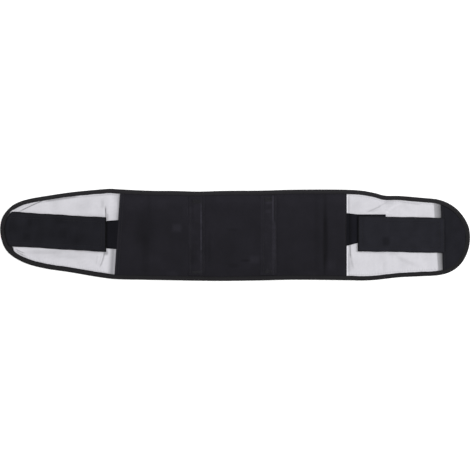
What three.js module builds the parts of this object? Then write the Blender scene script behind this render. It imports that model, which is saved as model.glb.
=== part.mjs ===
// A lumbar support belt, laid flat with its outer face up.
// A padded back panel with two sewn-on stay casings carries a light cloth wing at each end, and one woven
// tape is folded over the whole edge. From each side seam of the panel an elastic strap runs out over its
// wing to a wide fastening tab. The left tab ends in the tip of its wing, the right one on a dark end patch.
// Millimetres: X runs along the belt, Y across it, and Z up from the surface that it lies on.

import * as THREE from "three";

// Driving dimensions.
const PANEL_LENGTH = 508; // between the two side seams, at mid height
const BELT_HEIGHT = 203; // highest to lowest point of the outline
const LEFT_WING_LENGTH = 259; // side seam to tip
const RIGHT_WING_LENGTH = 273;
const LEFT_SEAM_SLANT = 11.5; // how far the seam leans towards the panel at its upper end
const PANEL_THICKNESS = 5.5;
const PANEL_FLANGE = 2.4; // pressed rim that the binding holds
const PANEL_RAMP = 18; // run in which the padding swells to its full thickness
const SIDE_FLAP = 1.6; // thickness of the panel where it covers a wing's inner end
const WING_THICKNESS = 1.4;
const WING_LAP = 12; // how far a wing runs in under the panel
const BINDING_WIDTH = 9;
const BINDING_WALL = 0.8;
const STRAP_THICKNESS = 1.6;
const STRAP_SEAM_HEIGHT = 71; // elastic where it leaves the panel
const STRAP_TAB_HEIGHT = 62; // elastic drawn in at the tab
const STRAP_FREE_LENGTH = 25; // elastic that shows between seam and tab
const STRAP_LAP = 61; // elastic that the tab covers
const TAB_HEIGHT = 77;
const TAB_THICKNESS = 1.8;
const TAB_RAMP = 9; // run in which a tab steps down from the elastic, or up on to the patch
const PATCH_LENGTH = 61.5; // inner edge to the tip of the right wing
const PATCH_SLANT = 6.5;
const PATCH_THICKNESS = 1.4;
const PATCH_LAP = 5; // how far the right tab runs on to the patch
const CASING_WIDTH = 36;
const CASING_WALL = 0.7;
const STAY_WIDTH = 20;
const STAY_RISE = 1.6;
const STAY_END = 10; // run in which a stay's ends fade into the casing
const GROOVE_DEPTH = 1.1; // soft creases where the panel bends beside its outer stays
const GROOVE_WIDTH = 7;
const BUMP_WIDTH = 17; // round pads that press through the cover
const BUMP_RISE = 0.8;
const FOLD_RISE = 2.2; // the wings' folds
const FOLD_WIDTH = 9;
const CLEARANCE = 0.3; // between neighbouring pieces, face to face
const EDGE_CLEARANCE = 1; // between a cloth edge and the fold of the binding round it

// Outline of the belt. along is a share of the piece's length, from the seam to the tip on a wing and from
// left to right on the panel. above and below are shares of half the belt's height.
const LEFT_WING_EDGE = [
  { along: 0.058, above: 1.0, below: 0.952 },
  { along: 0.195, above: 0.974, below: 0.902 },
  { along: 0.4, above: 0.922, below: 0.812 },
  { along: 0.605, above: 0.845, below: 0.734 },
  { along: 0.742, above: 0.784, below: 0.651 },
  { along: 0.827, above: 0.723, below: 0.564 },
  { along: 0.896, above: 0.634, below: 0.459 },
  { along: 0.947, above: 0.507, below: 0.333 },
  { along: 0.981, above: 0.37, below: 0.158 },
];
const LEFT_TIP_RISE = 0.13;
const PANEL_EDGE = [
  { along: 0.0, above: 0.991, below: 0.963 },
  { along: 0.145, above: 0.957, below: 0.978 },
  { along: 0.25, above: 0.953, below: 0.987 },
  { along: 0.354, above: 0.939, below: 0.996 },
  { along: 0.46, above: 0.954, below: 1.0 },
  { along: 0.634, above: 0.961, below: 0.989 },
  { along: 0.756, above: 0.979, below: 0.975 },
  { along: 1.0, above: 0.979, below: 0.985 },
];
const RIGHT_WING_EDGE = [
  { along: 0.13, above: 0.956, below: 0.991 },
  { along: 0.227, above: 0.908, below: 0.98 },
  { along: 0.308, above: 0.852, below: 0.956 },
  { along: 0.422, above: 0.845, below: 0.922 },
  { along: 0.6, above: 0.806, below: 0.898 },
  { along: 0.747, above: 0.762, below: 0.874 },
  { along: 0.828, above: 0.679, below: 0.819 },
  { along: 0.893, above: 0.557, below: 0.716 },
  { along: 0.942, above: 0.407, below: 0.572 },
  { along: 0.974, above: 0.265, below: 0.407 },
  { along: 0.99, above: 0.152, below: 0.274 },
];
const RIGHT_TIP_RISE = -0.066;

// Where the straps and tabs lie: the height of their middle line, as shares of half the belt's height.
const LEFT_PULL = { strapAtSeam: 0.003, strapAtTab: 0.002, tabAtStrap: 0.011, tabAtTip: 0.112 };
const RIGHT_PULL = { strapAtSeam: 0.115, strapAtTab: 0.134, tabAtStrap: 0.018, tabAtTip: -0.01 };

// Folds of the wings, from one end to the other: along from the seam as a share of the wing's length,
// across as a share of half the belt's height, rise and width as shares of the named fold sizes.
const LEFT_FOLDS = [
  { along: 0.815, across: 0.47, toAlong: 0.63, toAcross: 0.76, rise: 0.6, width: 0.7 },
  { along: 0.1, across: 0.88, toAlong: 0.085, toAcross: 0.4, rise: 1.0, width: 0.9 },
  { along: 0.15, across: -0.75, toAlong: 0.09, toAcross: -0.42, rise: 0.9, width: 0.9 },
  { along: 0.3, across: 0.66, toAlong: 0.52, toAcross: 0.58, rise: 0.5, width: 1.2 },
  { along: 0.34, across: -0.6, toAlong: 0.6, toAcross: -0.48, rise: 0.5, width: 1.2 },
];
const RIGHT_FOLDS = [
  { along: 0.17, across: 0.56, toAlong: 0.33, toAcross: 0.7, rise: 0.8, width: 0.8 },
  { along: 0.36, across: 0.5, toAlong: 0.44, toAcross: 0.68, rise: 1.0, width: 0.9 },
  { along: 0.03, across: -0.4, toAlong: 0.05, toAcross: -0.84, rise: 1.0, width: 0.8 },
  { along: 0.35, across: -0.45, toAlong: 0.51, toAcross: -0.66, rise: 0.8, width: 1.2 },
  { along: 0.56, across: -0.6, toAlong: 0.7, toAcross: -0.55, rise: 0.5, width: 1.2 },
];

// The panel's surface: shares of its length from the left seam, and of half the belt's height.
const CASINGS = [
  { name: "stay_casing_left", along: 0.345 },
  { name: "stay_casing_right", along: 0.659 },
];
const GROOVES = [
  { along: 0.126, depth: 0.4, width: 1.8 },
  { along: 0.906, depth: 1.0, width: 1.0 },
];
const BUMPS = [
  { along: 0.258, across: 0.152 },
  { along: 0.596, across: -0.525 },
];

// Mesh fineness.
const OUTLINE_SAMPLES = 720;
const BINDING_STATIONS = 150;
const WING_COLUMNS = 30;
const PANEL_SPACING = 15; // between columns of the panel where nothing asks for more

// Places and levels worked out from the sizes.
const HALF_HEIGHT = BELT_HEIGHT / 2;
const BELT_LENGTH = LEFT_WING_LENGTH + PANEL_LENGTH + RIGHT_WING_LENGTH;
const LEFT_SEAM = LEFT_WING_LENGTH - BELT_LENGTH / 2;
const RIGHT_SEAM = LEFT_SEAM + PANEL_LENGTH;
const CLOTH_INSET = BINDING_WALL + EDGE_CLEARANCE;
const RIM_LOW = BINDING_WALL + CLEARANCE; // underside of all cloth that the binding holds
const WING_TOP = RIM_LOW + WING_THICKNESS;
const FLANGE_TOP = RIM_LOW + PANEL_FLANGE;
const STRAP_LOW = WING_TOP + CLEARANCE;
const STRAP_TOP = STRAP_LOW + STRAP_THICKNESS;
const PATCH_LOW = WING_TOP + CLEARANCE;
const PATCH_TOP = PATCH_LOW + PATCH_THICKNESS;
const FLAP_LOW = WING_TOP + CLEARANCE;
const FLAP_TOP = FLAP_LOW + SIDE_FLAP;
const PANEL_TOP = Math.max(PANEL_THICKNESS, FLAP_TOP, FLANGE_TOP);
const HOLD = BINDING_WIDTH + 1; // run of cloth that stays pressed at a bound edge
const STEP = 4; // run in which the panel's underside leaves the binding

// The two ends of the belt. way is the direction from the seam to the tip.
const LEFT = {
  name: "left", seam: LEFT_SEAM, slant: LEFT_SEAM_SLANT, way: -1, length: LEFT_WING_LENGTH,
  edge: LEFT_WING_EDGE, tipRise: LEFT_TIP_RISE, pull: LEFT_PULL, folds: LEFT_FOLDS,
};
const RIGHT = {
  name: "right", seam: RIGHT_SEAM, slant: 0, way: 1, length: RIGHT_WING_LENGTH,
  edge: RIGHT_WING_EDGE, tipRise: RIGHT_TIP_RISE, pull: RIGHT_PULL, folds: RIGHT_FOLDS,
};

const lerp = THREE.MathUtils.lerp;
const ease = (x, from, to) => THREE.MathUtils.smoothstep(x, from, to);
const share = (x, from, to) => THREE.MathUtils.clamp((x - from) / (to - from), 0, 1);

// Evenly spaced numbers from one value to another, both included.
function spread(from, to, count) {
  return Array.from({ length: count }, (_, i) => lerp(from, to, i / (count - 1)));
}

// X of a side seam at height y.
function seamAt(side, y) {
  return side.seam + (side.slant * y) / BELT_HEIGHT;
}

// The closed outline, clockwise from the left tip, as points on a smooth curve.
function outlinePoints() {
  const row = (x, y) => new THREE.Vector3(x, y * HALF_HEIGHT, 0);
  const wingX = (side, edge) => side.seam + side.way * edge.along * side.length;
  const panelX = (edge) => LEFT_SEAM + edge.along * PANEL_LENGTH;
  const leftOut = LEFT.edge;
  const leftIn = [...LEFT.edge].reverse();
  const rightOut = RIGHT.edge;
  const rightIn = [...RIGHT.edge].reverse();
  const knots = [
    row(LEFT_SEAM - LEFT_WING_LENGTH, LEFT_TIP_RISE),
    ...leftIn.map((e) => row(wingX(LEFT, e), e.above)),
    ...PANEL_EDGE.map((e) => row(panelX(e), e.above)),
    ...rightOut.map((e) => row(wingX(RIGHT, e), e.above)),
    row(RIGHT_SEAM + RIGHT_WING_LENGTH, RIGHT_TIP_RISE),
    ...rightIn.map((e) => row(wingX(RIGHT, e), -e.below)),
    ...[...PANEL_EDGE].reverse().map((e) => row(panelX(e), -e.below)),
    ...leftOut.map((e) => row(wingX(LEFT, e), -e.below)),
  ];
  const curve = new THREE.CatmullRomCurve3(knots, true, "centripetal");
  return curve.getSpacedPoints(OUTLINE_SAMPLES).slice(0, OUTLINE_SAMPLES);
}

const OUTLINE = outlinePoints();

// The outline drawn in by a distance, and the inward direction at each of its points.
function inwardAt(i) {
  const before = OUTLINE[(i + OUTLINE_SAMPLES - 1) % OUTLINE_SAMPLES];
  const after = OUTLINE[(i + 1) % OUTLINE_SAMPLES];
  return new THREE.Vector3(after.y - before.y, before.x - after.x, 0).normalize();
}

function insetLoop(inset) {
  return OUTLINE.map((p, i) => p.clone().addScaledVector(inwardAt(i), inset));
}

// Where a loop crosses a line x = value or y = value, as the range of the other coordinate.
function crossing(loop, key, value) {
  const other = key === "x" ? "y" : "x";
  const hits = [];
  loop.forEach((a, i) => {
    const b = loop[(i + 1) % loop.length];
    if (a[key] <= value !== b[key] <= value) {
      hits.push(lerp(a[other], b[other], (value - a[key]) / (b[key] - a[key])));
    }
  });
  return hits.length ? { low: Math.min(...hits), high: Math.max(...hits) } : null;
}

const CLOTH_LOOP = insetLoop(CLOTH_INSET);
const BOUND_LOOP = insetLoop(BINDING_WIDTH);

// How far a point lies inside the outline.
function rimDistance(x, y) {
  return Math.min(...OUTLINE.map((p) => Math.hypot(p.x - x, p.y - y)));
}

// A closed sheet between two surfaces over a grid. place(i, j) gives the plan position and both heights of a
// grid point; i runs along X and j along Y.
function sheetGeometry(columns, rows, place) {
  const position = [];
  const index = [];
  const top = (i, j) => i * rows + j;
  const low = (i, j) => columns * rows + top(i, j);
  const lows = [];
  for (let i = 0; i < columns; i++) {
    for (let j = 0; j < rows; j++) {
      const p = place(i, j);
      position.push(p.x, p.y, p.high);
      lows.push(p.x, p.y, p.low);
    }
  }
  position.push(...lows);
  const quad = (a, b, c, d) => index.push(a, b, c, a, c, d);
  for (let i = 0; i < columns - 1; i++) {
    for (let j = 0; j < rows - 1; j++) {
      quad(top(i, j), top(i + 1, j), top(i + 1, j + 1), top(i, j + 1));
      quad(low(i, j), low(i, j + 1), low(i + 1, j + 1), low(i + 1, j));
    }
    quad(low(i, 0), low(i + 1, 0), top(i + 1, 0), top(i, 0));
    quad(top(i, rows - 1), top(i + 1, rows - 1), low(i + 1, rows - 1), low(i, rows - 1));
  }
  for (let j = 0; j < rows - 1; j++) {
    quad(top(0, j), top(0, j + 1), low(0, j + 1), low(0, j));
    quad(low(columns - 1, j), low(columns - 1, j + 1), top(columns - 1, j + 1), top(columns - 1, j));
  }
  const geometry = new THREE.BufferGeometry();
  geometry.setAttribute("position", new THREE.Float32BufferAttribute(position, 3));
  geometry.setIndex(index);
  geometry.computeVertexNormals();
  return geometry;
}

// Lower and upper edge of a strap at a distance out from its seam.
function strapEdges(side, out) {
  const drawn = share(out, 0, STRAP_FREE_LENGTH);
  const middle = lerp(side.pull.strapAtSeam, side.pull.strapAtTab, drawn) * HALF_HEIGHT;
  const height = lerp(STRAP_SEAM_HEIGHT, STRAP_TAB_HEIGHT, drawn);
  return { low: middle - height / 2, high: middle + height / 2 };
}

// Lower and upper edge of a tab at a distance out from its seam.
function tabEdges(side, out) {
  const t = (out - STRAP_FREE_LENGTH) / (side.length - STRAP_FREE_LENGTH);
  const middle = lerp(side.pull.tabAtStrap, side.pull.tabAtTip, t) * HALF_HEIGHT;
  return { low: middle - TAB_HEIGHT / 2, high: middle + TAB_HEIGHT / 2 };
}

// Lower and upper edge of all that strap and tab cover.
function coveredEdges(side, out) {
  const strap = strapEdges(side, out);
  const tab = tabEdges(side, out);
  return { low: Math.min(strap.low, tab.low), high: Math.max(strap.high, tab.high) };
}

// X of the right patch's inner edge at height y.
function patchEdgeAt(y) {
  return RIGHT_SEAM + RIGHT_WING_LENGTH - PATCH_LENGTH - (PATCH_SLANT * y) / BELT_HEIGHT;
}

// Height of a wing's folds over its flat lie. Cloth stays flat where a strap, tab, patch or binding holds it.
function foldHeight(side, x, y) {
  const out = (x - side.seam) * side.way;
  const covered = coveredEdges(side, out);
  const beside = Math.max(y - covered.high, covered.low - y);
  const fromRim = rimDistance(x, y);
  const toPatch = side === RIGHT ? patchEdgeAt(y) - x : side.length;
  const free =
    ease(beside, 2, FOLD_WIDTH) *
    ease(fromRim, BINDING_WIDTH + 4, BINDING_WIDTH + 4 + FOLD_WIDTH) *
    ease(toPatch, 2, FOLD_WIDTH) *
    ease(out, 2, FOLD_WIDTH);
  const here = new THREE.Vector3(x, y, 0);
  const place = (along, across) =>
    new THREE.Vector3(side.seam + side.way * along * side.length, across * HALF_HEIGHT, 0);
  const nearest = new THREE.Vector3();
  const raised = side.folds.map((f) => {
    const line = new THREE.Line3(place(f.along, f.across), place(f.toAlong, f.toAcross));
    line.closestPointToPoint(here, true, nearest);
    const off = nearest.distanceTo(here) / (f.width * FOLD_WIDTH);
    return f.rise * FOLD_RISE * Math.exp(-off * off);
  });
  return free * Math.max(...raised);
}

// A wing: a cloth sheet whose inner end runs in under the panel, narrower than the bound edge there.
function wingGeometry(side) {
  const lapInset = insetLoop(HOLD + STEP + 1);
  const tip = crossing(CLOTH_LOOP, "y", side.tipRise * HALF_HEIGHT);
  const reach = side.way < 0 ? side.seam - tip.low : tip.high - side.seam;
  const lap = [-WING_LAP + CLEARANCE * 2, -CLEARANCE * 2];
  const free = spread(0, 1, WING_COLUMNS).map((t) => 3 + (reach - 3.8) * Math.sin((t * Math.PI) / 2) ** 1.15);
  const outs = [...lap, ...free];
  const bands = 4; // rows in each visible band, over and under the tab
  const rows = 2 * bands + 3;
  const place = (column, row) => {
    const i = side.way < 0 ? outs.length - 1 - column : column;
    const out = outs[i];
    const flat = side.seam + side.way * out;
    const edge = crossing(i < lap.length ? lapInset : CLOTH_LOOP, "x", flat);
    const covered = coveredEdges(side, out);
    const low = Math.max(covered.low - 2, lerp(edge.low, edge.high, 0.15));
    const high = Math.min(covered.high + 2, lerp(edge.low, edge.high, 0.85));
    let y;
    if (row <= bands) y = lerp(edge.low, low, row / bands);
    else if (row >= bands + 2) y = lerp(high, edge.high, (row - bands - 2) / bands);
    else y = (low + high) / 2;
    const fade = 1 - share(out, side.length / 4, side.length / 2);
    const x = flat + fade * (seamAt(side, y) - side.seam);
    const rise = i < lap.length ? 0 : foldHeight(side, x, y);
    return { x, y, low: RIM_LOW + rise, high: WING_TOP + rise };
  };
  return sheetGeometry(outs.length, rows, place);
}

// Columns of the panel: offsets from the left seam, closer where its surface changes.
function panelColumns() {
  const sideRun = [0, 3, WING_LAP, WING_LAP + STEP, WING_LAP + STEP + PANEL_RAMP / 2, WING_LAP + PANEL_RAMP + STEP];
  const close = [
    ...sideRun,
    ...sideRun.map((d) => PANEL_LENGTH - d),
    ...GROOVES.flatMap((g) => [-1, -0.5, 0, 0.5, 1].map((k) => g.along * PANEL_LENGTH + k * g.width * GROOVE_WIDTH)),
    ...BUMPS.flatMap((b) => [-0.5, -0.25, 0.25, 0.5].map((k) => b.along * PANEL_LENGTH + k * BUMP_WIDTH)),
  ];
  const count = Math.ceil(PANEL_LENGTH / PANEL_SPACING);
  const even = spread(0, PANEL_LENGTH, count).filter((d) => close.every((c) => Math.abs(c - d) > PANEL_SPACING / 2));
  const all = [...close, ...even].sort((a, b) => a - b);
  return all.filter((d, i) => i === 0 || d - all[i - 1] > 1);
}

// Insets from the nearer long edge at which the panel and its casings have rows.
const EDGE_ROWS = [CLOTH_INSET, HOLD, HOLD + STEP, HOLD + PANEL_RAMP / 2, HOLD + PANEL_RAMP, HOLD + 2 * PANEL_RAMP];

// Top of the panel at an inset from its long edges and a distance in from its nearer side seam.
function panelTop(inset, inFromSeam) {
  const fromEdge = lerp(FLANGE_TOP, PANEL_TOP, ease(inset, HOLD, HOLD + PANEL_RAMP));
  const fromSeam = lerp(FLAP_TOP, PANEL_TOP, ease(inFromSeam, 0, WING_LAP + PANEL_RAMP));
  return Math.min(fromEdge, fromSeam);
}

// Creases and round pads that show in the panel's cover.
function coverRelief(x, y, inset) {
  const swollen = ease(inset, HOLD, HOLD + PANEL_RAMP);
  const creases = GROOVES.map((g) => {
    const off = (x - LEFT_SEAM - g.along * PANEL_LENGTH) / (g.width * GROOVE_WIDTH / 2);
    return -g.depth * GROOVE_DEPTH * Math.exp(-off * off);
  });
  const pads = BUMPS.map((b) => {
    const dx = x - LEFT_SEAM - b.along * PANEL_LENGTH;
    const dy = y - b.across * HALF_HEIGHT;
    return BUMP_RISE * (1 - ease(Math.hypot(dx, dy), BUMP_WIDTH / 4, BUMP_WIDTH * 0.6));
  });
  return swollen * [...creases, ...pads].reduce((sum, h) => sum + h, 0);
}

// Rows across the panel at one X: y and the inset from the nearer long edge.
function panelRows(x, insets, middleRows) {
  const edge = crossing(OUTLINE, "x", x);
  const lows = insets.map((inset) => ({ y: edge.low + inset, inset }));
  const highs = [...insets].reverse().map((inset) => ({ y: edge.high - inset, inset }));
  const from = lows[lows.length - 1].y;
  const to = highs[0].y;
  const middle = spread(from, to, middleRows + 2).slice(1, -1);
  return [...lows, ...middle.map((y) => ({ y, inset: Math.min(y - edge.low, edge.high - y) })), ...highs];
}

// The back panel: a pad pressed thin at its rim, hollowed at both sides over the wings' inner ends.
function panelGeometry() {
  const columns = panelColumns();
  const middleRows = 4;
  const rows = 2 * EDGE_ROWS.length + middleRows;
  const place = (i, j) => {
    const d = columns[i];
    const flat = LEFT_SEAM + d;
    const { y, inset } = panelRows(flat, EDGE_ROWS, middleRows)[j];
    const fade = 1 - share(d, PANEL_LENGTH / 20, PANEL_LENGTH / 8);
    const x = flat + fade * (seamAt(LEFT, y) - LEFT_SEAM);
    const inFromSeam = Math.min(d, PANEL_LENGTH - d);
    const held = inset <= HOLD;
    const inside = inFromSeam <= WING_LAP ? FLAP_LOW : 0;
    return {
      x,
      y,
      low: held ? RIM_LOW : inside,
      high: panelTop(inset, inFromSeam) + coverRelief(x, y, inset),
    };
  };
  return sheetGeometry(columns.length, rows, place);
}

// A stay casing: a strip sewn on the panel by two flat margins, swollen between them by the stay.
function casingGeometry(casing) {
  const half = CASING_WIDTH / 2;
  const bulge = STAY_WIDTH / 2;
  const offsets = [-half, -bulge - 1, -bulge, -bulge * 0.7, 0, bulge * 0.7, bulge, bulge + 1, half];
  const insets = [HOLD + 1, ...EDGE_ROWS.slice(2)];
  const middleRows = 4;
  const rows = 2 * insets.length + middleRows;
  const place = (i, j) => {
    const dx = offsets[i];
    const x = LEFT_SEAM + casing.along * PANEL_LENGTH + dx;
    const { y, inset } = panelRows(x, insets, middleRows)[j];
    const across = Math.sqrt(Math.max(0, 1 - (dx / (bulge + 1)) ** 2));
    const ends = ease(inset, HOLD + STEP, HOLD + STEP + STAY_END);
    const low = panelTop(inset, PANEL_LENGTH / 2) + CLEARANCE;
    return { x, y, low, high: low + CASING_WALL + STAY_RISE * across * ends };
  };
  return sheetGeometry(offsets.length, rows, place);
}

// A sheet that runs out from the seam between two edges at given levels.
function runGeometry(side, outs, rows, edgesAt, levelAt, xAt) {
  const place = (column, j) => {
    const i = side.way < 0 ? outs.length - 1 - column : column;
    const edges = edgesAt(outs[i]);
    const y = lerp(edges.low, edges.high, j / (rows - 1));
    return { x: xAt(i, y), y, ...levelAt(outs[i]) };
  };
  return sheetGeometry(outs.length, rows, place);
}

function strapGeometry(side) {
  const rows = 5;
  const outs = [CLEARANCE, ...spread(0, 1, 5).slice(1).map((t) => t * STRAP_FREE_LENGTH), STRAP_FREE_LENGTH + STRAP_LAP];
  const seamFade = (out) => 1 - share(out, 0, STRAP_FREE_LENGTH);
  const xAt = (i, y) => side.seam + side.way * outs[i] + seamFade(outs[i]) * (seamAt(side, y) - side.seam);
  const levelAt = () => ({ low: STRAP_LOW, high: STRAP_TOP });
  return runGeometry(side, outs, rows, (out) => strapEdges(side, out), levelAt, xAt);
}

// Underside of a tab at a distance out from its seam: over the elastic, on the wing, then on the patch.
function tabLow(side, out) {
  const strapEnd = STRAP_FREE_LENGTH + STRAP_LAP + CLEARANCE;
  const overStrap = STRAP_TOP + CLEARANCE;
  const onWing = WING_TOP + CLEARANCE;
  const down = lerp(overStrap, onWing, share(out, strapEnd, strapEnd + TAB_RAMP));
  if (side !== RIGHT) return down;
  const patchStart = side.length - PATCH_LENGTH - PATCH_SLANT / 2 - CLEARANCE;
  return lerp(down, PATCH_TOP + CLEARANCE, share(out, patchStart - TAB_RAMP, patchStart));
}

function tabGeometry(side) {
  const rows = 7;
  const strapEnd = STRAP_FREE_LENGTH + STRAP_LAP + CLEARANCE;
  const patchStart = side.length - PATCH_LENGTH - PATCH_SLANT / 2 - CLEARANCE;
  const onPatch = [patchStart - TAB_RAMP, patchStart, side.length - PATCH_LENGTH + PATCH_LAP];
  const toTip = spread(strapEnd + TAB_RAMP, side.length, 6).slice(1);
  const outs = [STRAP_FREE_LENGTH, strapEnd, strapEnd + TAB_RAMP, ...(side === RIGHT ? onPatch : toTip)];
  const tipX = (y) => {
    const rim = crossing(BOUND_LOOP, "y", y);
    return (side.way < 0 ? rim.low : rim.high) - side.way * EDGE_CLEARANCE;
  };
  const roundFrom = strapEnd + TAB_RAMP; // from here the left tab's columns bend to follow the tip
  const xAt = (i, y) => {
    const straight = side.seam + side.way * outs[i];
    if (side === RIGHT) return straight;
    const t = share(outs[i], roundFrom, side.length);
    return t > 0 ? lerp(side.seam + side.way * roundFrom, tipX(y), t) : straight;
  };
  const levelAt = (out) => ({ low: tabLow(side, out), high: tabLow(side, out) + TAB_THICKNESS });
  return runGeometry(side, outs, rows, (out) => tabEdges(side, out), levelAt, xAt);
}

// The dark patch that closes the right wing, from its inner edge to the binding round the tip.
function patchGeometry() {
  const loop = insetLoop(BINDING_WIDTH + EDGE_CLEARANCE);
  const tip = crossing(loop, "y", RIGHT_TIP_RISE * HALF_HEIGHT).high;
  const start = patchEdgeAt(0);
  const reach = tip - start - EDGE_CLEARANCE / 2;
  const shares = [0, 0.2, 0.4, 0.57, 0.71, 0.82, 0.9, 0.96, 1];
  const rows = 11;
  const place = (i, j) => {
    const flat = start + shares[i] * reach;
    const edge = crossing(loop, "x", flat);
    const y = lerp(edge.low, edge.high, j / (rows - 1));
    const x = flat + (1 - shares[i]) * (patchEdgeAt(y) - start);
    return { x, y, low: PATCH_LOW, high: PATCH_TOP };
  };
  return sheetGeometry(shares.length, rows, place);
}

// Total height of the binding where it holds the wing, and where it holds the thicker panel.
function bindingHeight(p) {
  const beyond = Math.max(seamAt(LEFT, p.y) - p.x, p.x - seamAt(RIGHT, p.y));
  const cloth = lerp(PANEL_FLANGE, WING_THICKNESS, ease(beyond, 2, PANEL_RAMP));
  return 2 * RIM_LOW + cloth;
}

// The binding: a tape folded over the edge, as one closed ring of U sections that open inwards.
function bindingGeometry() {
  const chamfer = BINDING_WALL * 0.7;
  const every = OUTLINE_SAMPLES / BINDING_STATIONS;
  const stations = Array.from({ length: BINDING_STATIONS }, (_, k) => Math.round(k * every));
  const section = (height) => [
    [chamfer, 0],
    [BINDING_WIDTH, 0],
    [BINDING_WIDTH, BINDING_WALL],
    [BINDING_WALL, BINDING_WALL],
    [BINDING_WALL, height - BINDING_WALL],
    [BINDING_WIDTH, height - BINDING_WALL],
    [BINDING_WIDTH, height],
    [chamfer, height],
    [0, height - chamfer],
    [0, chamfer],
  ];
  const position = stations.flatMap((s) => {
    const edge = OUTLINE[s];
    const inward = inwardAt(s);
    return section(bindingHeight(edge)).flatMap(([inset, z]) => [
      edge.x + inward.x * inset,
      edge.y + inward.y * inset,
      z,
    ]);
  });
  const points = section(1).length;
  const index = [];
  stations.forEach((_, s) => {
    const next = (s + 1) % stations.length;
    for (let k = 0; k < points; k++) {
      const [a, b] = [s * points + k, s * points + ((k + 1) % points)];
      const [c, d] = [next * points + ((k + 1) % points), next * points + k];
      index.push(a, c, b, a, d, c);
    }
  });
  const geometry = new THREE.BufferGeometry();
  geometry.setAttribute("position", new THREE.Float32BufferAttribute(position, 3));
  geometry.setIndex(index);
  geometry.computeVertexNormals();
  return geometry;
}

// Materials: black laminated knit, light mesh cloth, woven tape, elastic and brushed loop.
const cloth = (color, roughness) => new THREE.MeshStandardMaterial({ color, roughness, metalness: 0 });
const PANEL_CLOTH = cloth("#242427", 0.9);
const MESH_CLOTH = cloth("#d0cfd6", 0.85);
const TAPE = cloth("#202022", 0.7);
const ELASTIC = cloth("#191a1e", 0.75);
const LOOP = cloth("#25262b", 0.95);

function mesh(name, geometry, material) {
  const made = new THREE.Mesh(geometry, material);
  made.name = name;
  return made;
}

const belt = new THREE.Group();
belt.name = "lumbar_support_belt";
belt.add(mesh("back_panel", panelGeometry(), PANEL_CLOTH));
for (const casing of CASINGS) {
  belt.add(mesh(casing.name, casingGeometry(casing), PANEL_CLOTH));
}
for (const side of [LEFT, RIGHT]) {
  belt.add(mesh(`${side.name}_wing`, wingGeometry(side), MESH_CLOTH));
  belt.add(mesh(`${side.name}_strap`, strapGeometry(side), ELASTIC));
  belt.add(mesh(`${side.name}_tab`, tabGeometry(side), LOOP));
}
belt.add(mesh("right_end_patch", patchGeometry(), LOOP));
belt.add(mesh("edge_binding", bindingGeometry(), TAPE));

export default belt;
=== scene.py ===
"""A lumbar support belt, laid flat with its outer face up.

A padded back panel, two stay casings, a light mesh wing at each end, one woven tape over the whole edge,
and at each side an elastic strap with its brushed fastening tab. Sizes are in millimetres, and the meshes
are made in metres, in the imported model's own frame.
"""

import logging
import math
from dataclasses import dataclass, field
from enum import Enum
from typing import Sequence

import bpy
import numpy as np
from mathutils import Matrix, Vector
from mathutils.bvhtree import BVHTree


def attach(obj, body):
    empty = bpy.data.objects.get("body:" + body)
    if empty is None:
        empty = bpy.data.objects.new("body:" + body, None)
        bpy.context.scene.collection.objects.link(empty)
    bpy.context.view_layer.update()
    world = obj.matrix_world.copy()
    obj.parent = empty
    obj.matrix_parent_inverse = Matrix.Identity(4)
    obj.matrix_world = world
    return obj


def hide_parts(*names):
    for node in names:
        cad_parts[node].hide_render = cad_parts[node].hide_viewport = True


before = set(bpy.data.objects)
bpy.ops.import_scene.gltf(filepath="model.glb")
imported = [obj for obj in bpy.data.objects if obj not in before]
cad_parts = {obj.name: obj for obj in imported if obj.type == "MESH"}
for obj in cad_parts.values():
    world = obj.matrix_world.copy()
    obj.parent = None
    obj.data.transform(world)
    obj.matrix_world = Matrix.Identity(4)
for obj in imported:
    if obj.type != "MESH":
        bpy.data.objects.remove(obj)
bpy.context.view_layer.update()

MM = 0.001
Array = np.ndarray
LOG = logging.getLogger("belt")


def ease(value: Array | float, start: float, end: float) -> Array | float:
    """Rises smoothly from 0 at start to 1 at end."""
    t = np.clip((value - start) / (end - start), 0.0, 1.0)
    return t * t * (3.0 - 2.0 * t)


def lerp(low: Array | float, high: Array | float, share: Array | float) -> Array | float:
    """The value a share of the way from low to high."""
    return low + (high - low) * share


def linear(code: str) -> tuple[float, float, float]:
    """Turns an sRGB colour code to linear light.

    Args:
        code: six hex digits after a hash sign.

    Returns:
        Red, green and blue, from 0 to 1.
    """
    values = [int(code[i : i + 2], 16) / 255 for i in (1, 3, 5)]
    return tuple(v / 12.92 if v <= 0.04045 else ((v + 0.055) / 1.055) ** 2.4 for v in values)


def stretch_grid(values: Array, columns: int, rows: int) -> Array:
    """Reads a coarse grid of values at a finer, evenly spread grid, along smooth cubic curves.

    Args:
        values: the coarse grid.
        columns: columns wanted.
        rows: rows wanted.

    Returns:
        The finer grid.
    """
    for axis, count in enumerate((columns, rows)):
        last = values.shape[axis] - 1
        at = np.linspace(0, last, count)
        start = np.clip(at.astype(int), 0, last - 1)
        f = (at - start).reshape((-1, 1) if axis == 0 else (1, -1))
        a, b, c, d = (np.take(values, np.clip(start + k, 0, last), axis) for k in (-1, 0, 1, 2))
        values = b + 0.5 * f * (c - a + f * (2 * a - 5 * b + 4 * c - d + f * (3 * (b - c) + d - a)))
    return values


# The outline: along is a share of the piece, and above, below and the tips' places are shares of half
# the belt's height.
@dataclass(frozen=True)
class EdgeRow:
    """How far the outline lies above and below the belt's middle at one place along a piece."""

    along: float
    above: float
    below: float


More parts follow.
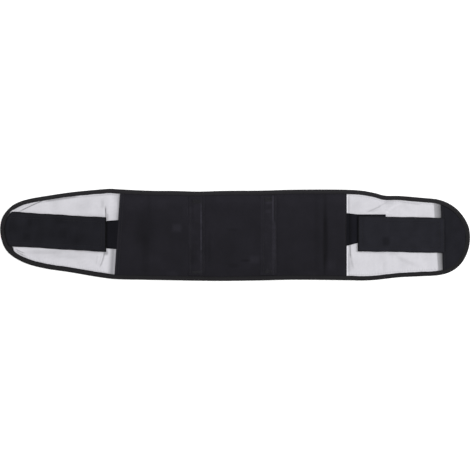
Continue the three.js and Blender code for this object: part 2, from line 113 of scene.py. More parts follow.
LEFT_ROWS = (
    EdgeRow(0.058, 1.0, 0.952),
    EdgeRow(0.195, 0.974, 0.902),
    EdgeRow(0.4, 0.922, 0.812),
    EdgeRow(0.605, 0.845, 0.734),
    EdgeRow(0.742, 0.784, 0.651),
    EdgeRow(0.827, 0.723, 0.564),
    EdgeRow(0.896, 0.634, 0.459),
    EdgeRow(0.947, 0.507, 0.333),
    EdgeRow(0.981, 0.37, 0.158),
)
PANEL_ROWS = (
    EdgeRow(0.0, 0.991, 0.963),
    EdgeRow(0.145, 0.957, 0.978),
    EdgeRow(0.25, 0.953, 0.987),
    EdgeRow(0.354, 0.939, 0.996),
    EdgeRow(0.46, 0.954, 1.0),
    EdgeRow(0.634, 0.961, 0.989),
    EdgeRow(0.756, 0.979, 0.975),
    EdgeRow(1.0, 0.979, 0.985),
)
RIGHT_ROWS = (
    EdgeRow(0.13, 0.956, 0.991),
    EdgeRow(0.227, 0.908, 0.98),
    EdgeRow(0.308, 0.852, 0.956),
    EdgeRow(0.422, 0.845, 0.922),
    EdgeRow(0.6, 0.806, 0.898),
    EdgeRow(0.747, 0.762, 0.874),
    EdgeRow(0.828, 0.679, 0.819),
    EdgeRow(0.893, 0.557, 0.716),
    EdgeRow(0.942, 0.407, 0.572),
    EdgeRow(0.974, 0.265, 0.407),
    EdgeRow(0.99, 0.152, 0.274),
)
LEFT_TIP = 0.13
RIGHT_TIP = -0.066


def edge_points(
    rows: Sequence[EdgeRow], start: float, span: float, half: float, upper: bool
) -> list[list[float]]:
    """Turns rows of the outline into points.

    Args:
        rows: the rows, in the order wanted.
        start: x from which they are measured.
        span: length of the piece, negative where it runs to the left.
        half: half the belt's height.
        upper: True for the upper edge.

    Returns:
        An x and a y for each row.
    """
    return [[start + row.along * span, (row.above if upper else -row.below) * half] for row in rows]


class Outline:
    """The belt's closed edge line in plan, clockwise from the left tip."""

    def __init__(self, knots: Array, samples: int = 1600) -> None:
        """Draws a smooth closed curve through the knots and spreads points evenly on it.

        Args:
            knots: points that the edge passes through.
            samples: number of points on the curve.
        """
        curve = self._through(knots)
        closed = np.vstack([curve, curve[:1]])
        run = np.concatenate([[0.0], np.cumsum(np.linalg.norm(np.diff(closed, axis=0), axis=1))])
        at = np.linspace(0.0, run[-1], samples, endpoint=False)
        self.length = float(run[-1])
        self.points = np.stack([np.interp(at, run, closed[:, k]) for k in (0, 1)], 1)
        step = np.roll(self.points, -1, 0) - np.roll(self.points, 1, 0)
        inward = np.stack([step[:, 1], -step[:, 0]], 1)
        self.inward = inward / np.linalg.norm(inward, axis=1, keepdims=True)

    @staticmethod
    def _through(knots: Array, per_span: int = 60) -> Array:
        """A closed centripetal curve through the knots.

        Args:
            knots: points that the curve passes through.
            per_span: points made between two knots.

        Returns:
            Points on the curve.
        """
        t = np.linspace(0.0, 1.0, per_span, endpoint=False)[:, None]
        spans = []
        for i in range(len(knots)):
            p0, p1, p2, p3 = (knots[(i + k) % len(knots)] for k in (-1, 0, 1, 2))
            g0, g1, g2 = (math.sqrt(np.linalg.norm(b - a)) for a, b in ((p0, p1), (p1, p2), (p2, p3)))
            m1 = ((p1 - p0) / g0 - (p2 - p0) / (g0 + g1) + (p2 - p1) / g1) * g1
            m2 = ((p2 - p1) / g1 - (p3 - p1) / (g1 + g2) + (p3 - p2) / g2) * g1
            cubic = 2 * p1 - 2 * p2 + m1 + m2
            square = 3 * p2 - 3 * p1 - 2 * m1 - m2
            spans.append(cubic * t**3 + square * t**2 + m1 * t + p1)
        return np.vstack(spans)

    def loop(self, inset: float) -> Array:
        """The outline drawn in by a distance."""
        return self.points + self.inward * inset

    def edges(self, inset: float, x: Array) -> tuple[Array, Array]:
        """Lower and upper crossing of the drawn-in outline at each x.

        Args:
            inset: how far the outline is drawn in.
            x: places along the belt.

        Returns:
            Lower and upper y.
        """
        loop = self.loop(inset)
        loop = np.roll(loop, -int(np.argmin(loop[:, 0])), 0)
        right = int(np.argmax(loop[:, 0]))
        upper = loop[: right + 1]
        lower = np.vstack([loop[right:], loop[:1]])[::-1]
        return np.interp(x, lower[:, 0], lower[:, 1]), np.interp(x, upper[:, 0], upper[:, 1])

    def tip(self, inset: float, y: Array, way: int, beyond: float) -> Array:
        """Crossing of the drawn-in outline near one tip at each y.

        Args:
            inset: how far the outline is drawn in.
            y: heights.
            way: -1 for the left tip and 1 for the right one.
            beyond: x past which the outline counts as the tip.

        Returns:
            The x of each crossing.
        """
        loop = self.loop(inset)
        arc = loop[(loop[:, 0] - beyond) * way > 0]
        arc = arc[np.argsort(arc[:, 1])]
        return np.interp(y, arc[:, 1], arc[:, 0])

    def depth(self, x: Array, y: Array) -> Array:
        """How far each point lies inside the outline.

        Args:
            x: places along the belt.
            y: places across it.

        Returns:
            Distances to the nearest point of the outline.
        """
        edge = self.points[::2]
        flat = np.stack([x.ravel(), y.ravel()], 1)
        found = [
            np.sqrt(((part[:, None, :] - edge[None]) ** 2).sum(2).min(1))
            for part in np.array_split(flat, max(1, len(flat) // 2000))
        ]
        return np.concatenate(found).reshape(x.shape)


@dataclass(frozen=True)
class End:
    """One end of the belt, from a side seam of the panel out to the tip.

    Each pair of middles or heights is at the strap's or tab's inner end and at its outer end.
    """

    name: str
    seam: float
    slant: float
    way: int
    length: float
    strap_mid: tuple[float, float]
    tab_mid: tuple[float, float]
    strap_height: tuple[float, float]
    tab_height: float
    strap_free: float = 25.0
    strap_lap: float = 61.0

    def strap(self, out: Array) -> tuple[Array, Array]:
        """Lower and upper edge of the strap at each distance out from the seam.

        Args:
            out: distances from the seam.

        Returns:
            Lower and upper y.
        """
        drawn = np.clip(out / self.strap_free, 0.0, 1.0)
        middle, half = lerp(*self.strap_mid, drawn), lerp(*self.strap_height, drawn) / 2
        return middle - half, middle + half

    def tab(self, out: Array) -> tuple[Array, Array]:
        """Lower and upper edge of the tab at each distance out from the seam.

        Args:
            out: distances from the seam.

        Returns:
            Lower and upper y.
        """
        share = (out - self.strap_free) / (self.length - self.strap_free)
        middle = lerp(*self.tab_mid, share)
        return middle - self.tab_height / 2, middle + self.tab_height / 2

    def beside(self, out: Array, y: Array) -> Array:
        """How far each point lies beside strap and tab."""
        (s_low, s_high), (t_low, t_high) = self.strap(out), self.tab(out)
        return np.maximum(y - np.maximum(s_high, t_high), np.minimum(s_low, t_low) - y)

    def seam_at(self, y: Array, height: float) -> Array:
        """X of the side seam at each y."""
        return self.seam + self.slant * y / height


@dataclass
class BeltPlan:
    """Sizes, levels and lines that the belt's pieces share."""

    left_wing: float = 259.0
    panel: float = 508.0
    right_wing: float = 273.0
    height: float = 203.0
    slant: float = 14.0
    tape_width: float = 9.0
    tape_wall: float = 0.8
    cloth_inset: float = 1.8
    rim_low: float = 1.1
    wing_top: float = 2.5
    flange_top: float = 3.5
    flap_top: float = 4.4
    panel_top: float = 5.5
    strap_low: float = 2.8
    strap_top: float = 4.4
    patch_top: float = 4.2
    patch_length: float = 61.5
    patch_slant: float = 6.5
    wing_lap: float = 12.0
    gap: float = 0.3
    outline: Outline = field(init=False)
    left: End = field(init=False)
    right: End = field(init=False)

    def __post_init__(self) -> None:
        """Works out both ends and the outline from the sizes."""
        seam = self.left_wing - (self.left_wing + self.panel + self.right_wing) / 2
        self.left = End(
            "left",
            seam=seam,
            slant=self.slant,
            way=-1,
            length=self.left_wing,
            strap_mid=(0.4, 0.4),
            tab_mid=(0.4, 13.0),
            strap_height=(63.5, 59.5),
            tab_height=75.2,
        )
        self.right = End(
            "right",
            seam=seam + self.panel,
            slant=0.0,
            way=1,
            length=self.right_wing,
            strap_mid=(11.7, 13.6),
            tab_mid=(2.5, -2.6),
            strap_height=(71.5, 62.0),
            tab_height=76.6,
        )
        half = self.height / 2
        pieces = (
            (LEFT_ROWS[::-1], seam, -self.left_wing),
            (PANEL_ROWS, seam, self.panel),
            (RIGHT_ROWS, self.right.seam, self.right_wing),
        )
        knots = [[seam - self.left_wing, LEFT_TIP * half]]
        for rows, start, span in pieces:
            knots += edge_points(rows, start, span, half, True)
        knots += [[self.right.seam + self.right_wing, RIGHT_TIP * half]]
        for rows, start, span in pieces[::-1]:
            knots += edge_points(rows[::-1], start, span, half, False)
        self.outline = Outline(np.array(knots))

    def patch_edge(self, y: Array) -> Array:
        """X of the end patch's inner edge at each y."""
        return self.right.seam + self.right_wing - self.patch_length - self.patch_slant * y / self.height


@dataclass(frozen=True)
class Ripple:
    """Seeded soft unevenness, as a sum of long waves that run all ways."""

    size: float
    seed: int
    waves: int = 22

    def at(self, x: Array, y: Array) -> Array:
        """The unevenness at each point, mostly between -1 and 1.

        Args:
            x: places along the belt.
            y: places across it.

        Returns:
            One value for each point.
        """
        rng = np.random.default_rng(self.seed)
        total = np.zeros(np.broadcast(x, y).shape)
        for _ in range(self.waves):
            turn, phase = rng.uniform(0, math.tau, 2)
            rate = math.tau / (self.size * rng.uniform(0.6, 1.8))
            total += np.sin((x * math.cos(turn) + y * math.sin(turn)) * rate + phase)
        return total / math.sqrt(self.waves)


@dataclass(frozen=True)
class Shade:
    """A soft patch painted lighter or darker, mostly painted light and shade; the cloth may also stand up or
    sink.
    """

    x: float
    y: float
    half_x: float
    half_y: float
    tone: float
    rise: float = 0.0

    def weight(self, x: Array, y: Array) -> Array:
        """How strongly the patch counts at each point."""
        return np.exp(-(((x - self.x) / self.half_x) ** 4) - ((y - self.y) / self.half_y) ** 4)


@dataclass(frozen=True)
class Crease:
    """A crease from one point to another: a ridge, and a painted shadow line at its foot (light if
    positive).
    """

    x0: float
    y0: float
    x1: float
    y1: float
    rise: float
    width: float
    line: float = 0.0
    line_width: float = 1.3
    bow: float = 0.0

    def relief(self, x: Array, y: Array) -> tuple[Array, Array]:
        """Height and tone that the crease adds.

        Args:
            x: places along the belt.
            y: places across it.

        Returns:
            The height in millimetres, and the tone, which is negative where the cloth looks darker.
        """
        run_x, run_y = self.x1 - self.x0, self.y1 - self.y0
        length = math.hypot(run_x, run_y)
        along = ((x - self.x0) * run_x + (y - self.y0) * run_y) / length**2
        off = ((x - self.x0) * run_y - (y - self.y0) * run_x) / length
        off = off - self.bow * 4 * along * (1 - along)
        ends = ease(along, -0.1, 0.2) * (1 - ease(along, 0.8, 1.1))
        steep = np.where(off > -self.width, self.width * 0.45, self.width)
        height = self.rise * np.exp(-(((off + self.width) / steep) ** 2)) * ends
        return height, self.line * np.exp(-((off / self.line_width) ** 2)) * ends


@dataclass(frozen=True)
class EdgeShade:
    """A shadow or a light line that follows the edge tape between two places along the belt."""

    x0: float
    x1: float
    way: int
    depth: float
    width: float
    tone: float

    def weight(self, x: Array, y: Array, depth: Array) -> Array:
        """How strongly it counts at each point, from the depth inside the outline."""
        window = ease(x, self.x0 - 8, self.x0 + 8) * (1 - ease(x, self.x1 - 8, self.x1 + 8))
        return window * (y * self.way > 0) * np.exp(-(((depth - self.depth) / self.width) ** 2))


# Finishes.
def add(
    tree: bpy.types.NodeTree,
    kind: str,
    settings: dict[str, object] | None = None,
    links: dict[int | str, object] | None = None,
) -> bpy.types.Node:
    """Adds a node with its settings and links.

    Args:
        tree: the tree that it goes into.
        kind: the node's type name.
        settings: properties to set on the node.
        links: for each input, a socket that feeds it, a node whose first output does, or a plain value.

    Returns:
        The new node.
    """
    node = tree.nodes.new(kind)
    for name, value in (settings or {}).items():
        setattr(node, name, value)
    for key, value in (links or {}).items():
        if isinstance(value, bpy.types.Node):
            value = value.outputs[0]
        if isinstance(value, bpy.types.NodeSocket):
            tree.links.new(value, node.inputs[key])
        else:
            node.inputs[key].default_value = value
    return node


class Weave(Enum):
    """How a cloth's surface is made."""

    KNIT = "knit"
    MESH = "mesh"
    GROSGRAIN = "grosgrain"
    RIB = "rib"
    PILE = "pile"
    THREAD = "thread"


@dataclass(frozen=True)
class ClothFinish:
    """A textile's look: its colour, the pitch and depth of its weave in millimetres, and its pile.

    The contrast is painted shade and light: how much darker its hollows and lighter its crests are
    painted. The mottle is how much soft patches mottle_size millimetres wide differ. A knit's stitches
    slant by knit_slant radians.
    """

    name: str
    colour: str
    weave: Weave
    pitch: float
    depth: float
    roughness: float
    sheen: float
    contrast: float
    mottle: float
    mottle_size: float
    specular: float
    knit_slant: float = 0.42

    def _height(self, tree: bpy.types.NodeTree, cloth: bpy.types.NodeSocket) -> bpy.types.Node:
        """The weave's relief from 0 to 1, in the cloth's own coordinates.

        Args:
            tree: the material's tree.
            cloth: cloth coordinates in metres.

        Returns:
            The node whose first output is the relief.
        """
        rate = math.tau / (self.pitch * MM)
        if self.weave in (Weave.PILE, Weave.THREAD):
            fibres = {"Vector": cloth, "Scale": 1 / (self.pitch * MM), "Detail": 3.0, "Roughness": 0.7}
            return add(tree, "ShaderNodeTexNoise", None, fibres)
        turns = {
            Weave.KNIT: (self.knit_slant, -self.knit_slant),
            Weave.MESH: (0.0, math.pi / 3, 2 * math.pi / 3),
            Weave.GROSGRAIN: (0.0,),
            Weave.RIB: (math.pi / 2,),
        }[self.weave]
        total = None
        for turn in turns:
            way = (math.cos(turn) * rate, math.sin(turn) * rate, 0.0)
            run = add(tree, "ShaderNodeVectorMath", {"operation": "DOT_PRODUCT"}, {0: cloth, 1: way})
            wave = add(tree, "ShaderNodeMath", {"operation": "COSINE"}, {0: run.outputs["Value"]})
            if total is not None:
                wave = add(tree, "ShaderNodeMath", {"operation": "ADD"}, {0: total, 1: wave})
            total = wave
        low, high = (-1.5, 3.0) if self.weave is Weave.MESH else (-len(turns), len(turns))
        spread = add(
            tree,
            "ShaderNodeMapRange",
            {"interpolation_type": "SMOOTHSTEP"},
            {"Value": total, "From Min": low, "From Max": high},
        )
        if self.weave is not Weave.MESH:
            return spread
        return add(tree, "ShaderNodeMath", {"operation": "SUBTRACT"}, {0: 1.0, 1: spread})

    def material(self) -> bpy.types.Material:
        """Builds the finish, or gives back the one already built.

        Returns:
            The material.
        """
        made = bpy.data.materials.get(self.name)
        if made:
            return made
        made = bpy.data.materials.new(self.name)
        made.use_nodes = True
        tree = made.node_tree
        shader = tree.nodes["Principled BSDF"]
        cloth = add(tree, "ShaderNodeUVMap", {"uv_map": "cloth"}).outputs["UV"]
        place = add(tree, "ShaderNodeTexCoord").outputs["Object"]
        height = self._height(tree, cloth)
        patches = add(
            tree,
            "ShaderNodeTexNoise",
            None,
            {"Vector": place, "Scale": 1 / (self.mottle_size * MM), "Detail": 4.0, "Roughness": 0.6},
        )
        uneven = add(
            tree,
            "ShaderNodeMapRange",
            None,
            {
                "Value": patches,
                "From Min": 0.3,
                "From Max": 0.7,
                "To Min": 1 - self.mottle,
                "To Max": 1 + self.mottle,
            },
        )
        # Painted shade in the weave's hollows and painted light on its crests.
        span = {"Value": height, "To Min": 1 - self.contrast, "To Max": 1 + self.contrast}
        depth = add(tree, "ShaderNodeMapRange", None, span)
        tone = add(tree, "ShaderNodeAttribute", {"attribute_name": "tone"})
        lifted = add(tree, "ShaderNodeMath", {"operation": "ADD"}, {0: tone.outputs["Fac"], 1: 1.0})
        both = add(tree, "ShaderNodeMath", {"operation": "MULTIPLY"}, {0: uneven, 1: depth})
        factor = add(tree, "ShaderNodeMath", {"operation": "MULTIPLY"}, {0: both, 1: lifted})
        plain = linear(self.colour)
        colour = add(tree, "ShaderNodeVectorMath", {"operation": "SCALE"}, {0: plain, "Scale": factor})
        smooth, coarse = self.roughness - 0.06, min(1.0, self.roughness + 0.06)
        rough = add(tree, "ShaderNodeMapRange", None, {"Value": patches, "To Min": smooth, "To Max": coarse})
        bump = add(
            tree, "ShaderNodeBump", None, {"Height": height, "Distance": self.depth * MM, "Strength": 1.0}
        )
        for node, name in ((colour, "Base Color"), (rough, "Roughness"), (bump, "Normal")):
            tree.links.new(node.outputs[0], shader.inputs[name])
        shader.inputs["Specular IOR Level"].default_value = self.specular
        shader.inputs["Sheen Weight"].default_value = self.sheen
        shader.inputs["Sheen Roughness"].default_value = 0.45
        return made


# Nylon knit laminated on foam: matt and dark, with small slanting stitches. The knit is 1.2 mm in the
# cloth and is drawn at 1.6 mm, so that it still shows in a near view.
LAMINATED_KNIT = ClothFinish(
    "laminated_nylon_knit",
    "#19181d",
    Weave.KNIT,
    pitch=1.6,
    depth=0.12,
    roughness=0.88,
    sheen=0.03,
    contrast=0.22,
    mottle=0.1,
    mottle_size=26,
    specular=0.1,
)
# The same knit cut lengthwise into strips for the stay casings, so its ribs run upright.
RIBBED_KNIT = ClothFinish(
    "ribbed_nylon_knit",
    "#19181d",
    Weave.RIB,
    pitch=2.0,
    depth=0.16,
    roughness=0.86,
    sheen=0.03,
    contrast=0.24,
    mottle=0.08,
    mottle_size=20,
    specular=0.1,
)
# Polyester warp-knit mesh, lilac grey: many small round openings, drawn at 2 mm.
WARP_MESH = ClothFinish(
    "polyester_warp_mesh",
    "#bebdc2",
    Weave.MESH,
    pitch=2.0,
    depth=0.2,
    roughness=0.85,
    sheen=0.02,
    contrast=0.06,
    mottle=0.03,
    mottle_size=30,
    specular=0.1,
)
# Nylon grosgrain tape: fine crosswise cords with a slight gloss.
GROSGRAIN = ClothFinish(
    "nylon_grosgrain_tape",
    "#1b1a1d",
    Weave.GROSGRAIN,
    pitch=1.5,
    depth=0.14,
    roughness=0.72,
    sheen=0.02,
    contrast=0.24,
    mottle=0.06,
    mottle_size=18,
    specular=0.16,
)
# Covered rubber elastic: darker than the rest, with lengthwise ribs.
ELASTIC = ClothFinish(
    "knitted_elastic",
    "#0e0e13",
    Weave.GROSGRAIN,
    pitch=1.3,
    depth=0.12,
    roughness=0.82,
    sheen=0.02,
    contrast=0.24,
    mottle=0.07,
    mottle_size=16,
    specular=0.08,
)
# Brushed nylon loop: a soft, blurred pile that scatters light, a little blue.
BRUSHED_LOOP = ClothFinish(
    "brushed_nylon_loop",
    "#1c1c21",
    Weave.PILE,
    pitch=0.9,
    depth=0.3,
    roughness=0.95,
    sheen=0.05,
    contrast=0.26,
    mottle=0.11,
    mottle_size=22,
    specular=0.08,
)
# Bonded polyester sewing thread, dark on the panel, tape and tabs, and grey on the mesh wings.
DARK_THREAD = ClothFinish(
    "black_polyester_thread",
    "#1a1a1d",
    Weave.THREAD,
    pitch=0.5,
    depth=0.05,
    roughness=0.6,
    sheen=0.0,
    contrast=0.15,
    mottle=0.05,
    mottle_size=10,
    specular=0.3,
)
LIGHT_THREAD = ClothFinish(
    "grey_polyester_thread",
    "#a3a2a9",
    Weave.THREAD,
    pitch=0.5,
    depth=0.05,
    roughness=0.7,
    sheen=0.0,
    contrast=0.15,
    mottle=0.05,
    mottle_size=10,
    specular=0.2,
)


# Meshes.
def make_mesh(
    name: str, points: Array, faces: Array, cloth: Array, tone: Array, finish: ClothFinish
) -> bpy.types.Object:
    """Makes a smooth mesh piece in metres, with its cloth coordinates and tone.

    Args:
        name: the piece's name.
        points: places in millimetres.
        faces: four point numbers for each face.
        cloth: cloth coordinates of each point, in millimetres.
        tone: brightness of each point, 0 for the plain finish, carrying painted light and shade as well.
        finish: the look.

    Returns:
        The new piece.
    """
    mesh = bpy.data.meshes.new(name)
    mesh.from_pydata((points * MM).tolist(), [], faces.tolist())
    layer = mesh.uv_layers.new(name="cloth")
    corners = np.empty(len(mesh.loops), np.int32)
    mesh.loops.foreach_get("vertex_index", corners)
    layer.data.foreach_set("uv", (cloth[corners] * MM).astype(np.float32).ravel())
    mesh.attributes.new("tone", "FLOAT", "POINT").data.foreach_set("value", tone.astype(np.float32))
    mesh.shade_smooth()
    mesh.materials.append(finish.material())
    piece = bpy.data.objects.new(name, mesh)
    bpy.context.scene.collection.objects.link(piece)
    return piece


@dataclass
class SheetGrid:
    """A cloth sheet on a grid: plan place, underside and top of each point, columns running along +X."""

    x: Array
    y: Array
    low: Array
    high: Array
    u: Array
    v: Array
    tone: Array

    def solid(
        self, name: str, finish: ClothFinish, roll: float, painted_edge_shade: float = 0.0, rings: int = 3
    ) -> bpy.types.Object:
        """Closes the sheet into a solid with rounded edges.

        Args:
            name: the piece's name.
            finish: the look.
            roll: how far the rounded edge stands out, in millimetres.
            painted_edge_shade: how much darker the rounded edge is painted, as painted shade (lighter if
                positive).
            rings: rows of points round the edge.

        Returns:
            The new piece.
        """
        columns, rows = self.x.shape
        count = columns * rows
        number = np.arange(count).reshape(columns, rows)
        rim = np.concatenate([number[:-1, 0], number[-1, :-1], number[:0:-1, -1], number[0, :0:-1]])
        flat = [values.ravel() for values in (self.x, self.y, self.low, self.high)]
        x, y, low, high = flat
        step_x = np.roll(x[rim], -1) - np.roll(x[rim], 1)
        step_y = np.roll(y[rim], -1) - np.roll(y[rim], 1)
        size = np.maximum(np.hypot(step_x, step_y), 1e-9)
        points = [np.stack([x, y, high], 1), np.stack([x, y, low], 1)]
        for k in range(rings):
            turn = math.pi / 2 - math.pi * (k + 1) / (rings + 1)
            stand = roll * math.cos(turn)
            middle, half = (high[rim] + low[rim]) / 2, (high[rim] - low[rim]) / 2
            ring_x = x[rim] + step_y / size * stand
            ring_y = y[rim] - step_x / size * stand
            points.append(np.stack([ring_x, ring_y, middle + half * math.sin(turn)], 1))
        a, b = number[:-1, :-1].ravel(), number[1:, :-1].ravel()
        c, d = number[1:, 1:].ravel(), number[:-1, 1:].ravel()
        faces = [np.stack([a, b, c, d], 1), np.stack([a, d, c, b], 1) + count]
        turns = [2 * count + k * len(rim) + np.arange(len(rim)) for k in range(rings)]
        strips = [rim] + turns + [rim + count]
        for upper, under in zip(strips, strips[1:]):
            faces.append(np.stack([upper, under, np.roll(under, -1), np.roll(upper, -1)], 1))
        repeats = [np.arange(count), np.arange(count)] + [rim] * rings
        source = np.concatenate(repeats)
        cloth = np.stack([self.u.ravel(), self.v.ravel()], 1)[source]
        tone = self.tone.ravel()[source]
        # Painted shade on the rounded edge.
        tone[2 * count :] += painted_edge_shade
        return make_mesh(name, np.vstack(points), np.vstack(faces), cloth, tone, finish)


@dataclass(frozen=True)
class SettledCloth:
    """A short cloth simulation of a held sheet that has a little spare cloth.

    The spare cloth is a share of the sheet's size, push is the air pressure under it, and bend is its
    stiffness. The solver works at solver_scale times the real size.
    """

    spare: float
    push: float
    bend: float
    frames: int = 16
    solver_scale: float = 10.0

    def rise(self, x: Array, y: Array, z: Array, held: Array) -> Array:
        """Lets the sheet settle.

        Args:
            x: places along the belt, on the sheet's grid.
            y: places across it.
            z: heights.
            held: True where the sheet is sewn down.

        Returns:
            How far each point has risen, in millimetres.
        """
        unit = self.solver_scale * MM
        columns, rows = x.shape
        number = np.arange(columns * rows).reshape(columns, rows)
        corners = [number[:-1, :-1], number[1:, :-1], number[1:, 1:], number[:-1, 1:]]
        faces = np.stack([part.ravel() for part in corners], 1)
        mesh = bpy.data.meshes.new("settling")
        mesh.from_pydata((np.stack([x, y, z], -1).reshape(-1, 3) * unit).tolist(), [], faces.tolist())
        sheet = bpy.data.objects.new("settling", mesh)
        scene = bpy.context.scene
        scene.collection.objects.link(sheet)
        sheet.vertex_groups.new(name="held").add(np.flatnonzero(held).tolist(), 1.0, "REPLACE")
        cloth = sheet.modifiers.new("settling", "CLOTH")
        cloth.settings.quality = 5
        cloth.settings.vertex_group_mass = "held"
        cloth.settings.shrink_min = -self.spare
        cloth.settings.bending_stiffness = self.bend
        cloth.settings.use_pressure = True
        cloth.settings.uniform_pressure_force = self.push
        cloth.settings.effector_weights.gravity = 0.0
        cloth.settings.air_damping = 4.0
        for moment in range(1, self.frames + 1):
            scene.frame_set(moment)
        settled = sheet.evaluated_get(bpy.context.evaluated_depsgraph_get()).data
        places = np.empty(len(settled.vertices) * 3, np.float32)
        settled.vertices.foreach_get("co", places)
        bpy.data.objects.remove(sheet)
        scene.frame_set(1)
        return places.reshape(columns, rows, 3)[..., 2] / unit - z


# Sewing.
@dataclass(frozen=True)
class Seam:
    """A row of stitches along a line in plan."""

    line: Array
    pitch: float = 3.4
    swing: float = 0.0


class PieceTree:
    """A node tree with named inputs that ends in smooth, plain geometry with its material."""

    def __init__(self, name: str, inputs: dict[str, str]) -> None:
        """Starts the tree.

        Args:
            name: the tree's name.
            inputs: the kind of socket of each named input, besides the material's.
        """
        self.tree = bpy.data.node_groups.new(name, "GeometryNodeTree")
        face = self.tree.interface
        for label, kind in inputs.items():
            face.new_socket(label, in_out="INPUT", socket_type=kind)
        face.new_socket("Cover", in_out="INPUT", socket_type="NodeSocketMaterial")
        face.new_socket("Piece", in_out="OUTPUT", socket_type="NodeSocketGeometry")
        self.given = add(self.tree, "NodeGroupInput").outputs

    def close(self, shape: bpy.types.Node) -> None:
        """Ends the tree.

        Args:
            shape: the node whose first output is the geometry.
        """
        real = add(self.tree, "GeometryNodeRealizeInstances", None, {0: shape})
        smooth = add(self.tree, "GeometryNodeSetShadeSmooth", None, {0: real})
        dress = {"Geometry": smooth, "Material": self.given["Cover"]}
        add(self.tree, "NodeGroupOutput", None, {0: add(self.tree, "GeometryNodeSetMaterial", None, dress)})


class StitchTree(PieceTree):
    """A node tree that lays one thread stitch on each step along a line."""

    def __init__(self) -> None:
        """Builds the tree and its named inputs."""
        inputs = {
            "Line": "NodeSocketGeometry",
            "Pitch": "NodeSocketFloat",
            "Swing": "NodeSocketFloat",
            "Thread radius": "NodeSocketFloat",
            "Filled share": "NodeSocketFloat",
            "Seed": "NodeSocketInt",
        }
        super().__init__("stitch_row", inputs)
        tree, given = self.tree, self.given
        line = add(tree, "GeometryNodeMeshToCurve", None, {0: given["Line"]})
        steps = add(
            tree, "GeometryNodeResampleCurve", {"mode": "LENGTH"}, {"Curve": line, "Length": given["Pitch"]}
        )
        tangent, up = add(tree, "GeometryNodeInputTangent"), (0.0, 0.0, 1.0)
        side = add(tree, "ShaderNodeVectorMath", {"operation": "CROSS_PRODUCT"}, {0: tangent, 1: up})
        place = add(tree, "GeometryNodeSplineParameter").outputs["Index"]
        odd = add(tree, "ShaderNodeMath", {"operation": "MODULO"}, {0: place, 1: 2.0})
        turn = add(tree, "ShaderNodeMath", {"operation": "SUBTRACT"}, {0: odd, 1: 0.5})
        swing = add(tree, "ShaderNodeMath", {"operation": "MULTIPLY"}, {0: turn, 1: given["Swing"]})
        offset = add(tree, "ShaderNodeVectorMath", {"operation": "SCALE"}, {0: side, "Scale": swing})
        swung = add(tree, "GeometryNodeSetPosition", None, {"Geometry": steps, "Offset": offset})
        edges = add(tree, "GeometryNodeCurveToMesh", None, {"Curve": swung})
        ends = add(tree, "GeometryNodeInputMeshEdgeVertices").outputs
        between = {0: ends["Position 2"], 1: ends["Position 1"]}
        run = add(tree, "ShaderNodeVectorMath", {"operation": "SUBTRACT"}, between)
        kept = add(
            tree,
            "GeometryNodeStoreNamedAttribute",
            {"data_type": "FLOAT_VECTOR", "domain": "EDGE"},
            {"Geometry": edges, "Name": "run", "Value": run},
        )
        middles = add(tree, "GeometryNodeMeshToPoints", {"mode": "EDGES"}, {"Mesh": kept})
        way = add(tree, "GeometryNodeInputNamedAttribute", {"data_type": "FLOAT_VECTOR"}, {"Name": "run"})
        along = add(tree, "FunctionNodeAlignRotationToVector", {"axis": "Z"}, {"Vector": way})
        length = add(tree, "ShaderNodeVectorMath", {"operation": "LENGTH"}, {0: way}).outputs["Value"]
        spread = {"Min": 0.9, "Max": 1.06, "Seed": given["Seed"]}
        uneven = add(tree, "FunctionNodeRandomValue", {"data_type": "FLOAT"}, spread).outputs["Value"]
        share = given["Filled share"]
        filled = add(tree, "ShaderNodeMath", {"operation": "MULTIPLY"}, {0: length, 1: share})
        drawn = add(tree, "ShaderNodeMath", {"operation": "MULTIPLY"}, {0: filled, 1: uneven})
        half = add(tree, "ShaderNodeMath", {"operation": "MULTIPLY"}, {0: drawn, 1: 0.5})
        radius = given["Thread radius"]
        size = add(tree, "ShaderNodeCombineXYZ", None, {"X": radius, "Y": radius, "Z": half})
        stitch = add(tree, "GeometryNodeMeshUVSphere", None, {"Segments": 6, "Rings": 4, "Radius": 1.0})
        laid = {"Points": middles, "Instance": stitch, "Rotation": along, "Scale": size}
        self.close(add(tree, "GeometryNodeInstanceOnPoints", None, laid))


class RibTree(PieceTree):
    """A node tree that lays a round cord on each line, for the ribs of elastic."""

    def __init__(self) -> None:
        """Builds the tree and its named inputs."""
        super().__init__("elastic_ribs", {"Lines": "NodeSocketGeometry", "Rib radius": "NodeSocketFloat"})
        tree, given = self.tree, self.given
        lines = add(tree, "GeometryNodeMeshToCurve", None, {0: given["Lines"]})
        round_ = {"Resolution": 6, "Radius": given["Rib radius"]}
        ring = add(tree, "GeometryNodeCurvePrimitiveCircle", None, round_)
        drawn = {"Curve": lines, "Profile Curve": ring, "Fill Caps": True}
        self.close(add(tree, "GeometryNodeCurveToMesh", None, drawn))


def grow(
    name: str, lines: Sequence[Array], tree: bpy.types.NodeTree, inputs: dict[str, object]
) -> bpy.types.Object:
    """Runs a node tree on a set of open lines and keeps the result as a plain mesh.

    Args:
        name: the piece's name.
        lines: each line's points, in metres.
        tree: the node tree.
        inputs: a value for each of the tree's named inputs.

    Returns:
        The new piece.
    """
    points, edges, start = [], [], 0
    for line in lines:
        points += line.tolist()
        edges += [(start + k, start + k + 1) for k in range(len(line) - 1)]
        start += len(line)
    path = bpy.data.meshes.new(name + "_path")
    path.from_pydata(points, edges, [])
    carrier = bpy.data.objects.new(name + "_path", path)
    bpy.context.scene.collection.objects.link(carrier)
    modifier = carrier.modifiers.new("rows", "NODES")
    modifier.node_group = tree
    sockets = {item.name: item.identifier for item in tree.interface.items_tree if item.in_out == "INPUT"}
    for label, value in inputs.items():
        modifier[sockets[label]] = value
    depsgraph = bpy.context.evaluated_depsgraph_get()
    mesh = bpy.data.meshes.new_from_object(carrier.evaluated_get(depsgraph), depsgraph=depsgraph)
    bpy.data.objects.remove(carrier)
    mesh.name = name
    piece = bpy.data.objects.new(name, mesh)
    bpy.context.scene.collection.objects.link(piece)
    return piece


